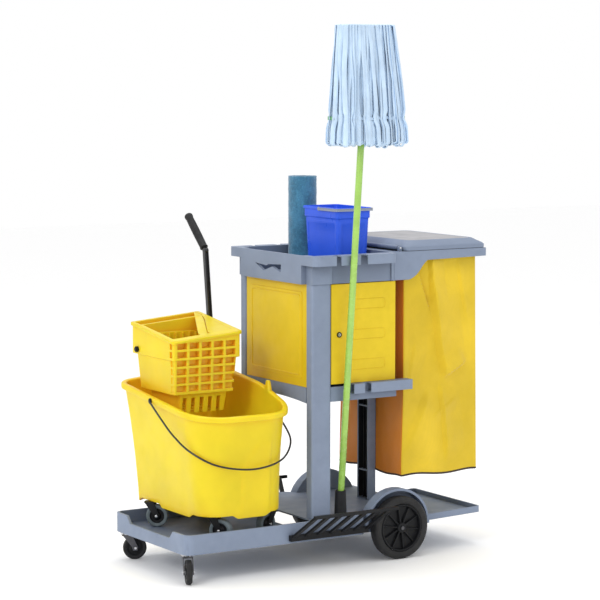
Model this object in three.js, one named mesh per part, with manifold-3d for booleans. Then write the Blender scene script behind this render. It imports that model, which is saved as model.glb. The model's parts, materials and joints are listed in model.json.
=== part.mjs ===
// Housekeeping cart: a moulded platform on wheels with a locking cabinet, an open top tray, a lidded
// bag frame and side racks, carrying a mop bucket with a side-press wringer, a mop, a small bucket
// and a rolled cloth. Millimetres. X runs from the bucket platform to the bag, Y across, Z up.
// "near" is the -Y side and "far" the +Y side. The floor is Z = 0.
import * as THREE from 'three';
import { mergeVertices } from 'three/addons/utils/BufferGeometryUtils.js';
import Module from 'manifold-3d';

const wasm = await Module();
wasm.setup();

// ---------------------------------------------------------------- driving dimensions
const GAP = 0.3;                         // clearance between pieces that touch
const NEAR = -1;
const FAR = 1;

const base = {
  halfWidth: 235, under: 89, rim: 150, deck: 152, floor: 110, wall: 8, cornerRadius: 26,
  wellEnd: 448, shoulder: 648, rear: 888, rearHalfWidth: 216,
};
const wheel = { x: 765, z: 100, radius: 100, hubRadius: 76, inner: 223, outer: 260, axleRadius: 6 };
const fender = { inner: 198, outer: 234, innerRadius: 114, outerRadius: 122 };
const rearTray = { end: 1120, halfWidth: 189, bottom: 97, height: 20, wall: 5, pitch: 0.035 };
const caster = {
  x: 24, y: 198, bossRadius: 22, radius: 37.5, width: 21, trail: 26, headTop: base.under - GAP,
};
const post = { x0: 454, x1: 525, inner: 182, outer: 218, top: 882, radius: 7, wall: 4 };
const column = { x0: 784, x1: 814, halfWidth: 31, wall: 4 };
const shelf = { top: 560, plate: 12, beamBottom: 514, halfWidth: 213, ledge: 240, rear: 815 };
const cabinet = { rear: 771, side: 214, panel: 5, doorStart: 527, hingeX: 763, hingeY: 209 };
const lock = { x: 556, z: 722, radius: 8.5, core: 5.5, keeperLow: -9, keeperHigh: 28 };
const tray = {
  x0: 436, x1: 757, halfWidth: 222, lip: 262, bottom: post.top, floor: 893, top: 971,
  lipBottom: 941, flange: 4, flangeEnd: 745, wall: 9, nose: 175, cornerRadius: 22,
};
const frame = { x0: 758, x1: 1113, halfWidth: 218, wall: 11, railBottom: 943, top: 971 };
const lid = {
  x0: 800, x1: 1113, halfWidth: 219, bottom: 972, rim: 984, crown: 1003, hingeX: 790, hingeZ: 982,
};
const bag = { x0: 818, x1: 1096, halfWidth: 184, bottom: 251, top: 966, skin: 4 };
const rack = { x0: 360, x1: 645, foot: 97, footTop: 115, topY: 333, topZ: 182, lean: 32, slats: 7 };
const cup = { x: 565, y: -209.3, outer: 17.5, inner: 15, height: 80 };
const mop = { foot: new THREE.Vector3(564.4, -206, 157.5), slopeX: 0.0094, slopeY: -0.086, radius: 10.5 };
const mopHead = { bottom: 1300, top: 1678, x: 597 };
const bucket = { bottom: 190, x0: 46, x1: 388, y0: -238, y1: 268, wall: 4, lip: 13, lipHeight: 17 };
const bucketWheel = { radius: 35, width: 24, trail: 24, wheelZ: base.floor + GAP + 35, top: 189.7 };
const wringer = {
  x0: 76, x1: 314, y0: -22, y1: 250, step: 543, bay: 650, pivotY: 212, pivotZ: 664, leverX: 342,
  hopperStart: 3, hopperEnd: 200,
};
const pocket = { columns: 5, rows: 6, pitchX: 43, pitchZ: 26.5, width: 34, height: 19, back: -3 };
const pail = { x0: 611, x1: 739, y0: -116, y1: 86, bottom: tray.floor + GAP, top: 1107, wall: 2.5 };
const roll = { x: 651, y: 158, radius: 45, top: 1199 };

// ---------------------------------------------------------------- materials
const finish = (color, roughness, metalness = 0) => ({ color, roughness, metalness });
const GREY = finish(0x87919f, 0.5);
const YELLOW = finish(0xe6c92c, 0.45);
const BUCKET_YELLOW = finish(0xebd334, 0.35);
const BLACK = finish(0x1d1f21, 0.55);
const TYRE = finish(0x26282a, 0.8);
const GREY_TYRE = finish(0x6f787c, 0.75);
const STEEL = finish(0xb9bcc0, 0.3, 1);
const GREEN = finish(0x9bd45a, 0.35);
const BLUE = finish(0x3767e4, 0.35);
const TEAL = finish(0x4a87a6, 0.95);
const MOP_BLUE = finish(0xbdd7ef, 0.95);
const FABRIC_YELLOW = finish(0xe3c63a, 0.8);

// ---------------------------------------------------------------- geometry helpers
const cart = new THREE.Group();

function addPart(name, geometry, look, parent = cart) {
  geometry.computeVertexNormals();
  const mesh = new THREE.Mesh(geometry, new THREE.MeshStandardMaterial(look));
  mesh.name = name;
  parent.add(mesh);
  return mesh;
}

const sideName = (side) => (side === NEAR ? 'near' : 'far');

// Box between two corners; a side's inner and outer Y can be given in either order.
function box(x0, x1, y0, y1, z0, z1) {
  const size = [Math.abs(x1 - x0), Math.abs(y1 - y0), Math.abs(z1 - z0)];
  return new THREE.BoxGeometry(...size).translate((x0 + x1) / 2, (y0 + y1) / 2, (z0 + z1) / 2);
}

function rod(axis, radius, from, to, a, b, sides = 16, endRadius = radius) {
  const geometry = new THREE.CylinderGeometry(endRadius, radius, to - from, sides);
  geometry.translate(0, (from + to) / 2, 0);
  if (axis === 'x') return geometry.rotateZ(-Math.PI / 2).translate(0, a, b);
  if (axis === 'y') return geometry.translate(a, 0, b);
  return geometry.rotateX(Math.PI / 2).translate(a, b, 0);
}

function outline(points) {
  return new THREE.Shape(points.map(([a, b]) => new THREE.Vector2(a, b)));
}

function roundedRect(a0, a1, b0, b1, radius) {
  const shape = new THREE.Shape();
  shape.moveTo(a0 + radius, b0);
  shape.lineTo(a1 - radius, b0);
  shape.absarc(a1 - radius, b0 + radius, radius, -Math.PI / 2, 0);
  shape.lineTo(a1, b1 - radius);
  shape.absarc(a1 - radius, b1 - radius, radius, 0, Math.PI / 2);
  shape.lineTo(a0 + radius, b1);
  shape.absarc(a0 + radius, b1 - radius, radius, Math.PI / 2, Math.PI);
  shape.lineTo(a0, b0 + radius);
  shape.absarc(a0 + radius, b0 + radius, radius, Math.PI, Math.PI * 1.5);
  return shape;
}

function circle(a, b, radius) {
  const shape = new THREE.Shape();
  shape.absarc(a, b, radius, 0, Math.PI * 2);
  return shape;
}

// Prisms: a shape drawn in two of the axes and pushed along the third.
function prism(shape, depth, curveSegments) {
  return new THREE.ExtrudeGeometry(shape, { depth, bevelEnabled: false, curveSegments });
}

function prismZ(shape, z0, z1, curveSegments = 2) {
  return prism(shape, z1 - z0, curveSegments).translate(0, 0, z0);
}

function prismY(shape, y0, y1, curveSegments = 2) {
  const low = Math.min(y0, y1);
  const high = Math.max(y0, y1);
  return prism(shape, high - low, curveSegments).rotateX(Math.PI / 2).translate(0, high, 0);
}

function prismX(shape, x0, x1, curveSegments = 2) {
  const axes = new THREE.Matrix4().makeBasis(
    new THREE.Vector3(0, 1, 0), new THREE.Vector3(0, 0, 1), new THREE.Vector3(1, 0, 0));
  return prism(shape, x1 - x0, curveSegments).applyMatrix4(axes).translate(x0, 0, 0);
}

// Closed solid through a list of rings with the same number of points, each counter-clockwise
// from above when the rings go up; a ring list that turns back down makes a hollow shell.
function loft(rings) {
  const count = rings[0].length;
  const positions = rings.flat().flatMap((p) => [p.x, p.y, p.z]);
  const indices = [];
  for (let r = 0; r < rings.length - 1; r += 1) {
    for (let i = 0; i < count; i += 1) {
      const a = r * count + i;
      const b = r * count + ((i + 1) % count);
      indices.push(a, b, b + count, a, b + count, a + count);
    }
  }
  const cap = (ring, first, flip) => {
    const centre = ring.reduce((sum, p) => sum.add(p), new THREE.Vector3()).divideScalar(count);
    const hub = positions.length / 3;
    positions.push(centre.x, centre.y, centre.z);
    for (let i = 0; i < count; i += 1) {
      const edge = [first + i, first + ((i + 1) % count)];
      if (flip) edge.reverse();
      indices.push(hub, ...edge);
    }
  };
  cap(rings[0], 0, true);
  cap(rings[rings.length - 1], (rings.length - 1) * count, false);
  const geometry = new THREE.BufferGeometry();
  geometry.setAttribute('position', new THREE.Float32BufferAttribute(positions, 3));
  geometry.setIndex(indices);
  return geometry;
}

// Rounded-rectangle ring; radii are [low-Y corners, high-Y corners]; height is a number or f(x, y).
function ring(x0, x1, y0, y1, radii, height, steps = 6) {
  const [low, high] = radii;
  const corners = [
    [x1 - low, y0 + low, low, -90], [x1 - high, y1 - high, high, 0],
    [x0 + high, y1 - high, high, 90], [x0 + low, y0 + low, low, 180],
  ];
  const level = typeof height === 'number' ? () => height : height;
  return corners.flatMap(([cx, cy, radius, start]) => Array.from({ length: steps + 1 }, (_, i) => {
    const angle = THREE.MathUtils.degToRad(start + (90 * i) / steps);
    const x = cx + radius * Math.cos(angle);
    const y = cy + radius * Math.sin(angle);
    return new THREE.Vector3(x, y, level(x, y));
  }));
}

// Ring of revolution about the Y axis through (x, z), from a closed [radius, y] profile.
function wheelRing(profile, segments) {
  const points = [...profile, profile[0]].map(([r, y]) => new THREE.Vector2(r, y));
  return new THREE.LatheGeometry(points, segments);
}

// Round bar along a smooth line through the given points.
function bar(points, radius, steps, curveSegments = 4) {
  const extrudePath = new THREE.CatmullRomCurve3(points, false, 'centripetal');
  return new THREE.ExtrudeGeometry(circle(0, 0, radius), { steps, extrudePath, curveSegments });
}

// ---------------------------------------------------------------- booleans
function toSolid(geometry) {
  const plain = geometry.clone();
  plain.deleteAttribute('normal');
  plain.deleteAttribute('uv');
  const merged = mergeVertices(plain, 1e-3);
  return new wasm.Manifold(new wasm.Mesh({
    numProp: 3,
    vertProperties: merged.attributes.position.array,
    triVerts: Uint32Array.from(merged.index.array),
  }));
}

function fromSolid(solid) {
  const mesh = solid.getMesh();
  const geometry = new THREE.BufferGeometry();
  geometry.setAttribute('position', new THREE.Float32BufferAttribute(mesh.vertProperties, 3));
  geometry.setIndex(new THREE.Uint32BufferAttribute(mesh.triVerts, 1));
  return geometry;
}

function join(...geometries) {
  const solids = geometries.map(toSolid);
  return fromSolid(solids.reduce((sum, solid) => sum.add(solid)));
}

function cut(geometry, ...tools) {
  return fromSolid(tools.map(toSolid).reduce((rest, tool) => rest.subtract(tool), toSolid(geometry)));
}

// ---------------------------------------------------------------- platform
function platformShell() {
  const { halfWidth: w, under, rim, deck, floor, wall, cornerRadius: r, wellEnd } = base;
  const front = prismZ(roundedRect(0, base.shoulder, -w, w, r), under, deck);
  const rear = box(base.shoulder - 10, base.rear, -base.rearHalfWidth, base.rearHalfWidth, under, deck);
  const well = prismZ(roundedRect(wall, wellEnd, wall - w, w - wall, r - wall), floor, deck + 5);
  const rimTrim = box(-1, wellEnd, -w - 1, w + 1, rim, deck + 5);
  const dip = prismX(outline([[-152, rim + 3], [-128, 127], [128, 127], [152, rim + 3]]), -1, 60);
  const sill = 6;
  const underWell = box(sill, wellEnd - 4, sill - w, w - sill, under - 1, floor - 5);
  const underDeck = box(wellEnd, base.shoulder - sill, sill - w, w - sill, under - 1, deck - 5);
  const inner = base.rearHalfWidth - sill;
  const underRear = box(base.shoulder - sill - 1, base.rear - sill, -inner, inner, under - 1, deck - 5);
  return cut(join(front, rear), well, rimTrim, dip, underWell, underDeck, underRear);
}

function fenderArch(side) {
  const { innerRadius, outerRadius, inner, outer } = fender;
  const arch = (radius, hole) => {
    const shape = new THREE.Shape();
    shape.absarc(wheel.x, wheel.z, radius, 0, Math.PI);
    if (hole) shape.absarc(wheel.x, wheel.z, hole, Math.PI, 0, true);
    return shape;
  };
  const band = prismY(arch(outerRadius, innerRadius), side * inner, side * outer, 8);
  const wall = prismY(arch(outerRadius - 4), side * (inner + 0.5), side * (inner + 4), 8);
  return join(band, wall);
}

function basePlatform() {
  const bosses = [NEAR, FAR].map((side) => rod('z', caster.bossRadius, base.under, base.floor - 4,
    caster.x, side * caster.y));
  const axleHole = rod('y', wheel.axleRadius + 0.4, -300, 300, wheel.x, wheel.z);
  return cut(join(platformShell(), fenderArch(NEAR), fenderArch(FAR), ...bosses), axleHole);
}

function rearTrayGeometry() {
  const { end, halfWidth: w, bottom, height, wall, pitch } = rearTray;
  const length = end - base.rear - GAP;
  const body = prismZ(roundedRect(0, length, -w, w, 12), 0, height);
  const hollow = prismZ(roundedRect(-20, length - wall, wall - w, w - wall, 8), wall, height + 5);
  const front = box(0, wall, 1 - w, w - 1, 0, height);
  const geometry = join(cut(body, hollow), front);
  geometry.rotateY(-pitch);
  return geometry.translate(base.rear + GAP + height * Math.sin(pitch), 0, bottom);
}

function sideRack(side) {
  const { x0, x1, foot, footTop, topY, topZ, lean, slats } = rack;
  const attach = base.halfWidth + GAP;
  const rail = box(x0, x1, side * attach, side * (attach + 14), foot, footTop);
  const top = box(x0 + lean, x1 + lean + 22, side * (topY - 5), side * (topY + 4), topZ - 5, topZ + 5);
  const rise = new THREE.Vector3(lean, side * (topY - attach - 7), topZ - (foot + footTop) / 2);
  const bars = Array.from({ length: slats }, (_, i) => {
    const x = x0 + 8 + ((x1 - x0 - 16) * i) / (slats - 1);
    const start = new THREE.Vector3(x, side * (attach + 7), (foot + footTop) / 2);
    return slat(start, start.clone().add(rise), 14, 7);
  });
  return join(rail, top, ...bars);
}

// Flat bar from one point to another, its broad side across X.
function slat(from, to, width, thickness) {
  const axis = to.clone().sub(from);
  const geometry = new THREE.BoxGeometry(width, thickness, axis.length());
  const up = axis.clone().normalize();
  const across = new THREE.Vector3(1, 0, 0).addScaledVector(up, -up.x).normalize();
  const normal = up.clone().cross(across);
  const middle = from.clone().add(to).multiplyScalar(0.5);
  const place = new THREE.Matrix4().makeBasis(across, normal, up).setPosition(middle);
  return geometry.applyMatrix4(place);
}

function poleCup() {
  const { x, y, outer, inner, height } = cup;
  const z = base.deck + GAP;
  const wall = rod('z', outer + 2, z, z + height, x, y, 20, outer);
  return cut(wall, rod('z', inner, z + 4, z + height + 1, x, y, 20));
}

addPart('base_platform', basePlatform(), GREY);
addPart('rear_tray', rearTrayGeometry(), GREY);
addPart('side_rack_near', sideRack(NEAR), BLACK);
addPart('side_rack_far', sideRack(FAR), BLACK);
addPart('pole_cup', poleCup(), BLACK);

// ---------------------------------------------------------------- rear wheels
function tyreGeometry() {
  const { radius, hubRadius, inner, outer } = wheel;
  const half = (outer - inner) / 2;
  const shoulder = 7;
  const profile = [
    [hubRadius, -half + 3], [radius - shoulder, -half], [radius - 1.5, -half + 5],
    [radius, -half + 11], [radius, half - 11], [radius - 1.5, half - 5],
    [radius - shoulder, half], [hubRadius, half - 3],
  ];
  return wheelRing(profile, 28);
}

function rearHub(side) {
  const { hubRadius, inner, outer, axleRadius } = wheel;
  const half = (outer - inner) / 2;
  const bore = axleRadius + 0.15;
  const profile = [
    [bore, -half], [16, -half], [16, -4], [hubRadius - 8, -4], [hubRadius - 6, -half + 4],
    [hubRadius - 1, -half + 4], [hubRadius - 1, half - 4], [hubRadius - 6, half - 4],
    [hubRadius - 8, 4], [16, 4], [16, half], [bore, half],
  ];
  const spokes = Array.from({ length: 10 }, (_, i) => {
    const spoke = box(14, hubRadius - 5, 3 * side, side * (half - 7), -1.6, 1.6);
    return spoke.rotateY((Math.PI * 2 * i) / 10 + 0.16);
  });
  return join(wheelRing(profile, 20), ...spokes);
}

const axleEnd = wheel.outer + 3;
addPart('rear_axle', rod('y', wheel.axleRadius, -axleEnd, axleEnd, wheel.x, wheel.z), STEEL);
for (const side of [NEAR, FAR]) {
  const group = new THREE.Group();
  group.position.set(wheel.x, (side * (wheel.inner + wheel.outer)) / 2, wheel.z);
  cart.add(group);
  addPart(`rear_tyre_${sideName(side)}`, tyreGeometry(), TYRE, group);
  addPart(`rear_hub_${sideName(side)}`, rearHub(side), BLACK, group);
}

// ---------------------------------------------------------------- casters
// A caster stands about its swivel axis (local Z), with its wheel trailing along local +X.
function casterWheel(radius, width, bore) {
  const half = width / 2;
  const profile = [
    [bore, -half - 1], [radius - 10, -half + 2], [radius - 7, -half], [radius, -half + 3],
    [radius, half - 3], [radius - 7, half], [radius - 10, half - 2], [bore, half + 1],
  ];
  return wheelRing(profile, 20);
}

function casterFork(spec, top, legTop) {
  const { trail, radius, width, wheelZ } = spec;
  const inside = width / 2 + 2.5;
  const plate = rod('z', inside + 3, legTop, top, 0, 0, 12);
  const leg = outline([[-15, top], [15, top], [trail + 8, wheelZ + 4], [trail + 7, wheelZ - 8],
    [trail - 7, wheelZ - 8], [trail - 11, wheelZ + 4]]);
  const legs = [NEAR, FAR].map((side) => prismY(leg, side * inside, side * (inside + 2.6)));
  const crown = box(-15, 15, -inside - 1, inside + 1, legTop, top);
  const axle = rod('y', 4.2, -inside - 9, inside + 9, trail, wheelZ, 12);
  const room = rod('y', radius + 1, -inside + 0.1, inside - 0.1, trail, wheelZ, 14);
  return cut(join(plate, crown, ...legs), axle, room);
}

function frontCaster(side, yaw) {
  const suffix = sideName(side);
  const group = new THREE.Group();
  group.position.set(caster.x, side * caster.y, 0);
  group.rotation.z = THREE.MathUtils.degToRad(yaw);
  cart.add(group);
  const spec = { ...caster, wheelZ: caster.radius };
  const forkTop = caster.headTop - 8 - GAP;
  const head = join(rod('z', 21, caster.headTop - 3, caster.headTop, 0, 0),
    rod('z', 17, caster.headTop - 8, caster.headTop - 2, 0, 0, 16, 20));
  addPart(`caster_head_${suffix}`, head, STEEL, group);
  addPart(`caster_fork_${suffix}`, casterFork(spec, forkTop, forkTop - 3.5), STEEL, group);
  const wheelGroup = new THREE.Group();
  wheelGroup.position.set(caster.trail, 0, caster.radius);
  group.add(wheelGroup);
  addPart(`caster_wheel_${suffix}`, casterWheel(caster.radius, caster.width, 4.1), BLACK, wheelGroup);
  const half = caster.width / 2 + 8.5;
  addPart(`caster_axle_${suffix}`, rod('y', 4, -half, half, 0, 0, 16), STEEL, wheelGroup);
}

frontCaster(NEAR, -112);
frontCaster(FAR, -20);

// ---------------------------------------------------------------- uprights and shelf
function frontPost(side) {
  const { x0, x1, inner, outer, top, radius, wall } = post;
  const y0 = Math.min(side * inner, side * outer);
  const y1 = Math.max(side * inner, side * outer);
  const tube = prismZ(roundedRect(x0, x1, y0, y1, radius), base.deck + GAP, top - GAP);
  const core = roundedRect(x0 + wall, x1 - wall, y0 + wall, y1 - wall, radius - wall);
  const { z, keeperLow, keeperHigh } = lock;
  const keeper = box(x1 - wall - 1, x1 + 1, side * 196, side * 207, z + keeperLow, z + keeperHigh);
  return cut(tube, prismZ(core, 0, top + 10), keeper);
}

function rearColumn() {
  const { x0, x1, halfWidth: w, wall } = column;
  const z0 = base.deck + GAP;
  const z1 = post.top - GAP;
  const profile = outline([[x0, -w], [x1, -w], [x1, w], [x0, w], [x0, w - wall],
    [x1 - wall, w - wall], [x1 - wall, wall - w], [x0, wall - w]]);
  const ribs = [244, 455, 700].map((z) => box(x0 + 3, x1 - 1, 1 - w, w - 1, z, z + 4));
  return join(prismZ(profile, z0, z1), ...ribs);
}

function midShelf() {
  const { top, plate, beamBottom, halfWidth: w, ledge, rear } = shelf;
  const plateSolid = box(post.x0 + 4, rear, -w, w, top - plate, top);
  const ledges = [NEAR, FAR].map((side) => {
    const skirt = box(596, rear, side * (w - 6), side * ledge, 537, 541);
    const roof = box(596, rear, side * (w - 6), side * ledge, 564, 568);
    const face = box(596, rear, side * (ledge - 4), side * ledge, 537, 568);
    const rib = box(cabinet.rear + 6, rear, side * (w - 8), side * w, 537, 568);
    const beam = box(post.x1 + GAP, cabinet.rear, side * (w - 5), side * w, beamBottom, top);
    const web = box(596, cabinet.rear, side * (w - 1), side * (w + 3), 537, 568);
    return join(skirt, roof, face, rib, beam, web);
  });
  const arch = new THREE.Shape();
  const half = post.inner - GAP;
  arch.moveTo(-half, beamBottom - 3);
  arch.quadraticCurveTo(0, beamBottom + 16, half, beamBottom - 3);
  arch.lineTo(half, top);
  arch.lineTo(-half, top);
  const frontBeam = prismX(arch, post.x0 + 1, post.x0 + 9, 12);
  const rearBeam = box(cabinet.rear - 6, cabinet.rear, -w, w, beamBottom, top);
  const postHoles = [NEAR, FAR].map((side) => box(post.x0 - 1, post.x1 + GAP, side * (post.inner - GAP),
    side * (post.outer + GAP), 500, 600));
  const columnRoom = column.halfWidth + GAP;
  const columnHole = box(column.x0 - GAP, rear + 5, -columnRoom, columnRoom, 500, 600);
  const toolNotches = [NEAR, FAR].map((side) => box(636, 660, side * (w + 4), side * (ledge + 1), 530, 570));
  return cut(join(plateSolid, frontBeam, rearBeam, ...ledges), ...postHoles, columnHole, ...toolNotches);
}

// ---------------------------------------------------------------- cabinet
function cabinetFront() {
  const half = post.inner - GAP;
  const z0 = shelf.top + GAP;
  const z1 = post.top - GAP;
  const x = post.x0 + 3;
  const sheet = box(x, x + cabinet.panel, -half, half, z0, z1);
  const field = prismX(roundedRect(-half + 26, half - 26, z0 + 26, z1 - 26, 8), x - 1.5, x + 1);
  return join(sheet, field);
}

function cabinetRear() {
  const half = cabinet.side - 10;
  return box(cabinet.rear - cabinet.panel, cabinet.rear, -half, half, shelf.top + GAP, post.top - GAP);
}

function cabinetDoor(side) {
  const { side: face, doorStart, hingeX, hingeY } = cabinet;
  const z0 = shelf.top + 8.5;
  const z1 = post.top - 2.5;
  const sheet = box(doorStart, hingeX, side * (face - 8), side * face, z0, z1);
  const barrel = rod('z', 5.2, z0, z1, hingeX, side * hingeY, 12);
  const bore = rod('z', 2.25, z0 - 1, z1 + 1, hingeX, side * hingeY, 12);
  const lockHole = rod('y', lock.radius - 2 + GAP, -300, 300, lock.x, lock.z);
  return cut(join(sheet, barrel), bore, lockHole);
}

function lockRing(side) {
  const { side: face } = cabinet;
  const rim = prismY(circle(lock.x, lock.z, lock.radius), side * (face + GAP), side * (face + 3), 6);
  const sleeve = prismY(circle(lock.x, lock.z, lock.radius - 2), side * (face - 9), side * (face + 1), 6);
  const bore = rod('y', lock.core + 0.2, -300, 300, lock.x, lock.z, 24);
  return cut(join(rim, sleeve), bore);
}

// Lock plug with its cam; the cam stands upright at rest and turns forward behind the post.
function lockPlug(side) {
  const { side: face } = cabinet;
  const plug = prismY(circle(lock.x, lock.z, lock.core), side * (face - 12), side * (face + 2.2), 6);
  const { x, z } = lock;
  const keyway = box(x - 0.7, x + 0.7, side * (face - 1), side * (face + 4), z - 3, z + 3);
  return cut(plug, keyway);
}

function lockCam(side) {
  const { side: face } = cabinet;
  const arm = roundedRect(lock.x - 6, lock.x + 6, lock.z - 6, lock.z + 38, 5);
  return prismY(arm, side * (face - 12 - GAP), side * (face - 14.5));
}

function doorPin(side) {
  return rod('z', 2, shelf.top + 8 + GAP, post.top - GAP, cabinet.hingeX, side * cabinet.hingeY, 12);
}

for (const side of [NEAR, FAR]) {
  const suffix = sideName(side);
  addPart(`front_post_${suffix}`, frontPost(side), GREY);
  addPart(`cabinet_door_${suffix}`, cabinetDoor(side), YELLOW);
  addPart(`door_hinge_pin_${suffix}`, doorPin(side), STEEL);
  addPart(`lock_ring_${suffix}`, lockRing(side), BLACK);
  addPart(`lock_plug_${suffix}`, lockPlug(side), STEEL);
  addPart(`lock_cam_${suffix}`, lockCam(side), STEEL);
}
addPart('rear_column', rearColumn(), GREY);
addPart('mid_shelf', midShelf(), GREY);
addPart('cabinet_front_panel', cabinetFront(), YELLOW);
addPart('cabinet_rear_panel', cabinetRear(), YELLOW);

// ---------------------------------------------------------------- top tray
function topTray() {
  const { x0, x1, halfWidth: w, lip, bottom, floor, top, lipBottom, flange, flangeEnd, wall, nose } = tray;
  const r = tray.cornerRadius;
  const skirt = prismZ(roundedRect(x0, flangeEnd, -lip, lip, r), lipBottom, top);
  const skirtInside = roundedRect(x0 + 4, flangeEnd - 4, 4 - lip, lip - 4, r - 4);
  const skirtRoom = prismZ(skirtInside, lipBottom - 1, top - flange);
  const body = prismZ(roundedRect(x0, x1, -w, w, 5), bottom, top);
  const inside = w - wall;
  const cavity = prismZ(outline([[x0 + wall, -nose], [post.x0 + wall, -nose], [post.x0 + wall, -inside],
    [x1 - wall, -inside], [x1 - wall, inside], [post.x0 + wall, inside], [post.x0 + wall, nose],
    [x0 + wall, nose]]), floor, top + 1);
  const cornerCuts = [NEAR, FAR].map((side) => box(x0 - 1, post.x0, side * (nose + wall), side * (lip + 1),
    bottom - 1, lipBottom));
  const sideCuts = [NEAR, FAR].map((side) => box(post.x1, flangeEnd, side * (w - 4), side * (w + 10),
    bottom - 1, lipBottom));
  const notches = [NEAR, FAR].flatMap((side) => [[517, 535], [605, 631]].map(([a, b]) => (
    box(a, b, side * (w + 14), side * (lip + 1), lipBottom - 1, top + 1))));
  const bow = prismX(outline([[93, 931], [24, 926], [12, 931], [-64, 935], [-62, 910], [-12, 925],
    [0, 922], [42, 909]]), x0 - 1, x0 + wall + 1);
  return cut(join(cut(skirt, skirtRoom), body), cavity, ...cornerCuts, ...sideCuts, ...notches, bow);
}

addPart('top_tray', topTray(), GREY);

// ---------------------------------------------------------------- bag frame, lid and bag
function cheek(side) {
  const { x0, x1, halfWidth: w, wall, railBottom, top } = frame;
  const shape = new THREE.Shape();
  shape.moveTo(x0, tray.bottom);
  shape.lineTo(column.x1 + 1, tray.bottom);
  shape.quadraticCurveTo(840, 888, 858, 912);
  shape.quadraticCurveTo(872, 932, 886, railBottom - 2);
  shape.lineTo(x1, railBottom + 2);
  shape.lineTo(x1, top);
  shape.lineTo(x0, top);
  return prismY(shape, side * (w - wall), side * w, 5);
}

function bagFrame() {
  const { x0, x1, halfWidth: w, wall, railBottom, top } = frame;
  const inner = w - wall + 1;
  const shelfPlate = box(x0, column.x1 + 1, -inner, inner, tray.bottom, tray.bottom + 8);
  const frontWall = box(x0, x0 + 8, -inner, inner, tray.bottom, top);
  const hingeWall = box(lid.hingeX - 6, lid.hingeX + 6, -inner, inner, top - 34, top);
  const bridge = box(x0, lid.hingeX, -inner, inner, top - 6, top);
  const rearBar = box(x1 - 11, x1, -inner, inner, railBottom + 2, top);
  const ears = [NEAR, FAR].map((side) => {
    const lug = prismY(circle(lid.hingeX, lid.hingeZ, 6), side * 196, side * 206, 16);
    const foot = box(lid.hingeX - 6, lid.hingeX + 6, side * 196, side * 206, top - 1, lid.hingeZ);
    return join(lug, foot);
  });
  const pinHole = rod('y', 3.1, -230, 230, lid.hingeX, lid.hingeZ);
  const solid = join(cheek(NEAR), cheek(FAR), shelfPlate, frontWall, hingeWall, bridge, rearBar, ...ears);
  return cut(solid, pinHole);
}

function lidRings() {
  const { x0, x1, halfWidth: w, bottom, rim, crown } = lid;
  const at = (inset, z, radius) => ring(x0 + inset, x1 - inset, inset - w, w - inset, [radius, radius], z, 3);
  return [
    at(38, crown - 7, 20), at(30, crown - 6, 24), at(6, rim - 4, 16), at(4, bottom + GAP, 16),
    at(0, bottom + GAP, 18), at(0, rim, 18), at(6, rim + 5, 18), at(26, crown - 1, 26),
    at(30, crown, 24), at(35, crown, 22), at(38, crown - 2, 20),
  ];
}

function bagLid() {
  const barrel = rod('y', 7, -194, 194, lid.hingeX, lid.hingeZ);
  const web = box(lid.hingeX, lid.x0 + 6, -194, 194, lid.hingeZ - 3, lid.hingeZ + 3);
  const bore = rod('y', 3.3, -230, 230, lid.hingeX, lid.hingeZ);
  return cut(join(loft(lidRings()), barrel, web), bore);
}

// Open-topped hanging bag: the skin narrows slightly and rounds in at its bottom.
function wasteBag() {
  const { x0, x1, halfWidth: w, bottom, top, skin } = bag;
  const at = (inset, z, radius) => ring(x0 + inset, x1 - inset, inset - w, w - inset, [radius, radius], z, 3);
  return loft([
    at(10, bottom, 14), at(0, bottom + 14, 14), at(0, top, 10), at(skin, top, 8),
    at(skin, bottom + 16, 11), at(skin + 9, bottom + skin, 10),
  ]);
}

addPart('bag_frame', bagFrame(), GREY);
addPart('bag_lid', bagLid(), GREY);
addPart('lid_hinge_pin', rod('y', 3, -206.5, 206.5, lid.hingeX, lid.hingeZ, 16), STEEL);
addPart('waste_bag', wasteBag(), FABRIC_YELLOW);

// ---------------------------------------------------------------- mop
function poleAt(z) {
  const rise = z - mop.foot.z;
  return new THREE.Vector3(mop.foot.x + mop.slopeX * rise, mop.foot.y + mop.slopeY * rise, z);
}

// Cylinder about the leaning pole line between two heights.
function poleRod(radius, z0, z1, sides = 20) {
  const from = poleAt(z0);
  const axis = poleAt(z1).sub(from);
  const geometry = new THREE.CylinderGeometry(radius, radius, axis.length(), sides);
  geometry.translate(0, axis.length() / 2, 0);
  const turn = new THREE.Quaternion().setFromUnitVectors(new THREE.Vector3(0, 1, 0), axis.normalize());
  return geometry.applyQuaternion(turn).translate(from.x, from.y, from.z);
}

function mopClamp() {
  const socketTop = mopHead.top - 30;
  const socket = poleRod(mop.radius + 4, 1520, socketTop);
  const centre = poleAt(socketTop);
  const half = { x: 68, y: 15 };
  const jaw = box(mopHead.x - half.x, mopHead.x + half.x, centre.y - half.y, centre.y + half.y,
    socketTop - 36, socketTop - 2);
  return cut(join(socket, jaw), poleRod(mop.radius + GAP, 1500, socketTop - 40));
}

function mopHeadShell() {
  const at = (halfX, halfY, z, shift = 0) => {
    const y = poleAt(z).y;
    const x = mopHead.x + shift;
    return ring(x - halfX, x + halfX, y - halfY, y + halfY, [halfY * 0.9, halfY * 0.9], z, 4);
  };
  const { bottom, top } = mopHead;
  return loft([
    at(150, 54, bottom), at(150, 58, bottom + 60), at(128, 50, 1500, -4), at(102, 40, top - 20, -2),
    at(90, 26, top, -2), at(82, 20, top - 10, -2), at(88, 20, 1500, -4), at(100, 26, bottom + 60),
    at(104, 28, bottom),
  ]);
}

addPart('mop_pole', poleRod(mop.radius, mop.foot.z, mopHead.top - 71), GREEN);
addPart('mop_clamp', mopClamp(), BLACK);
addPart('mop_head', mopHeadShell(), MOP_BLUE);

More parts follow.
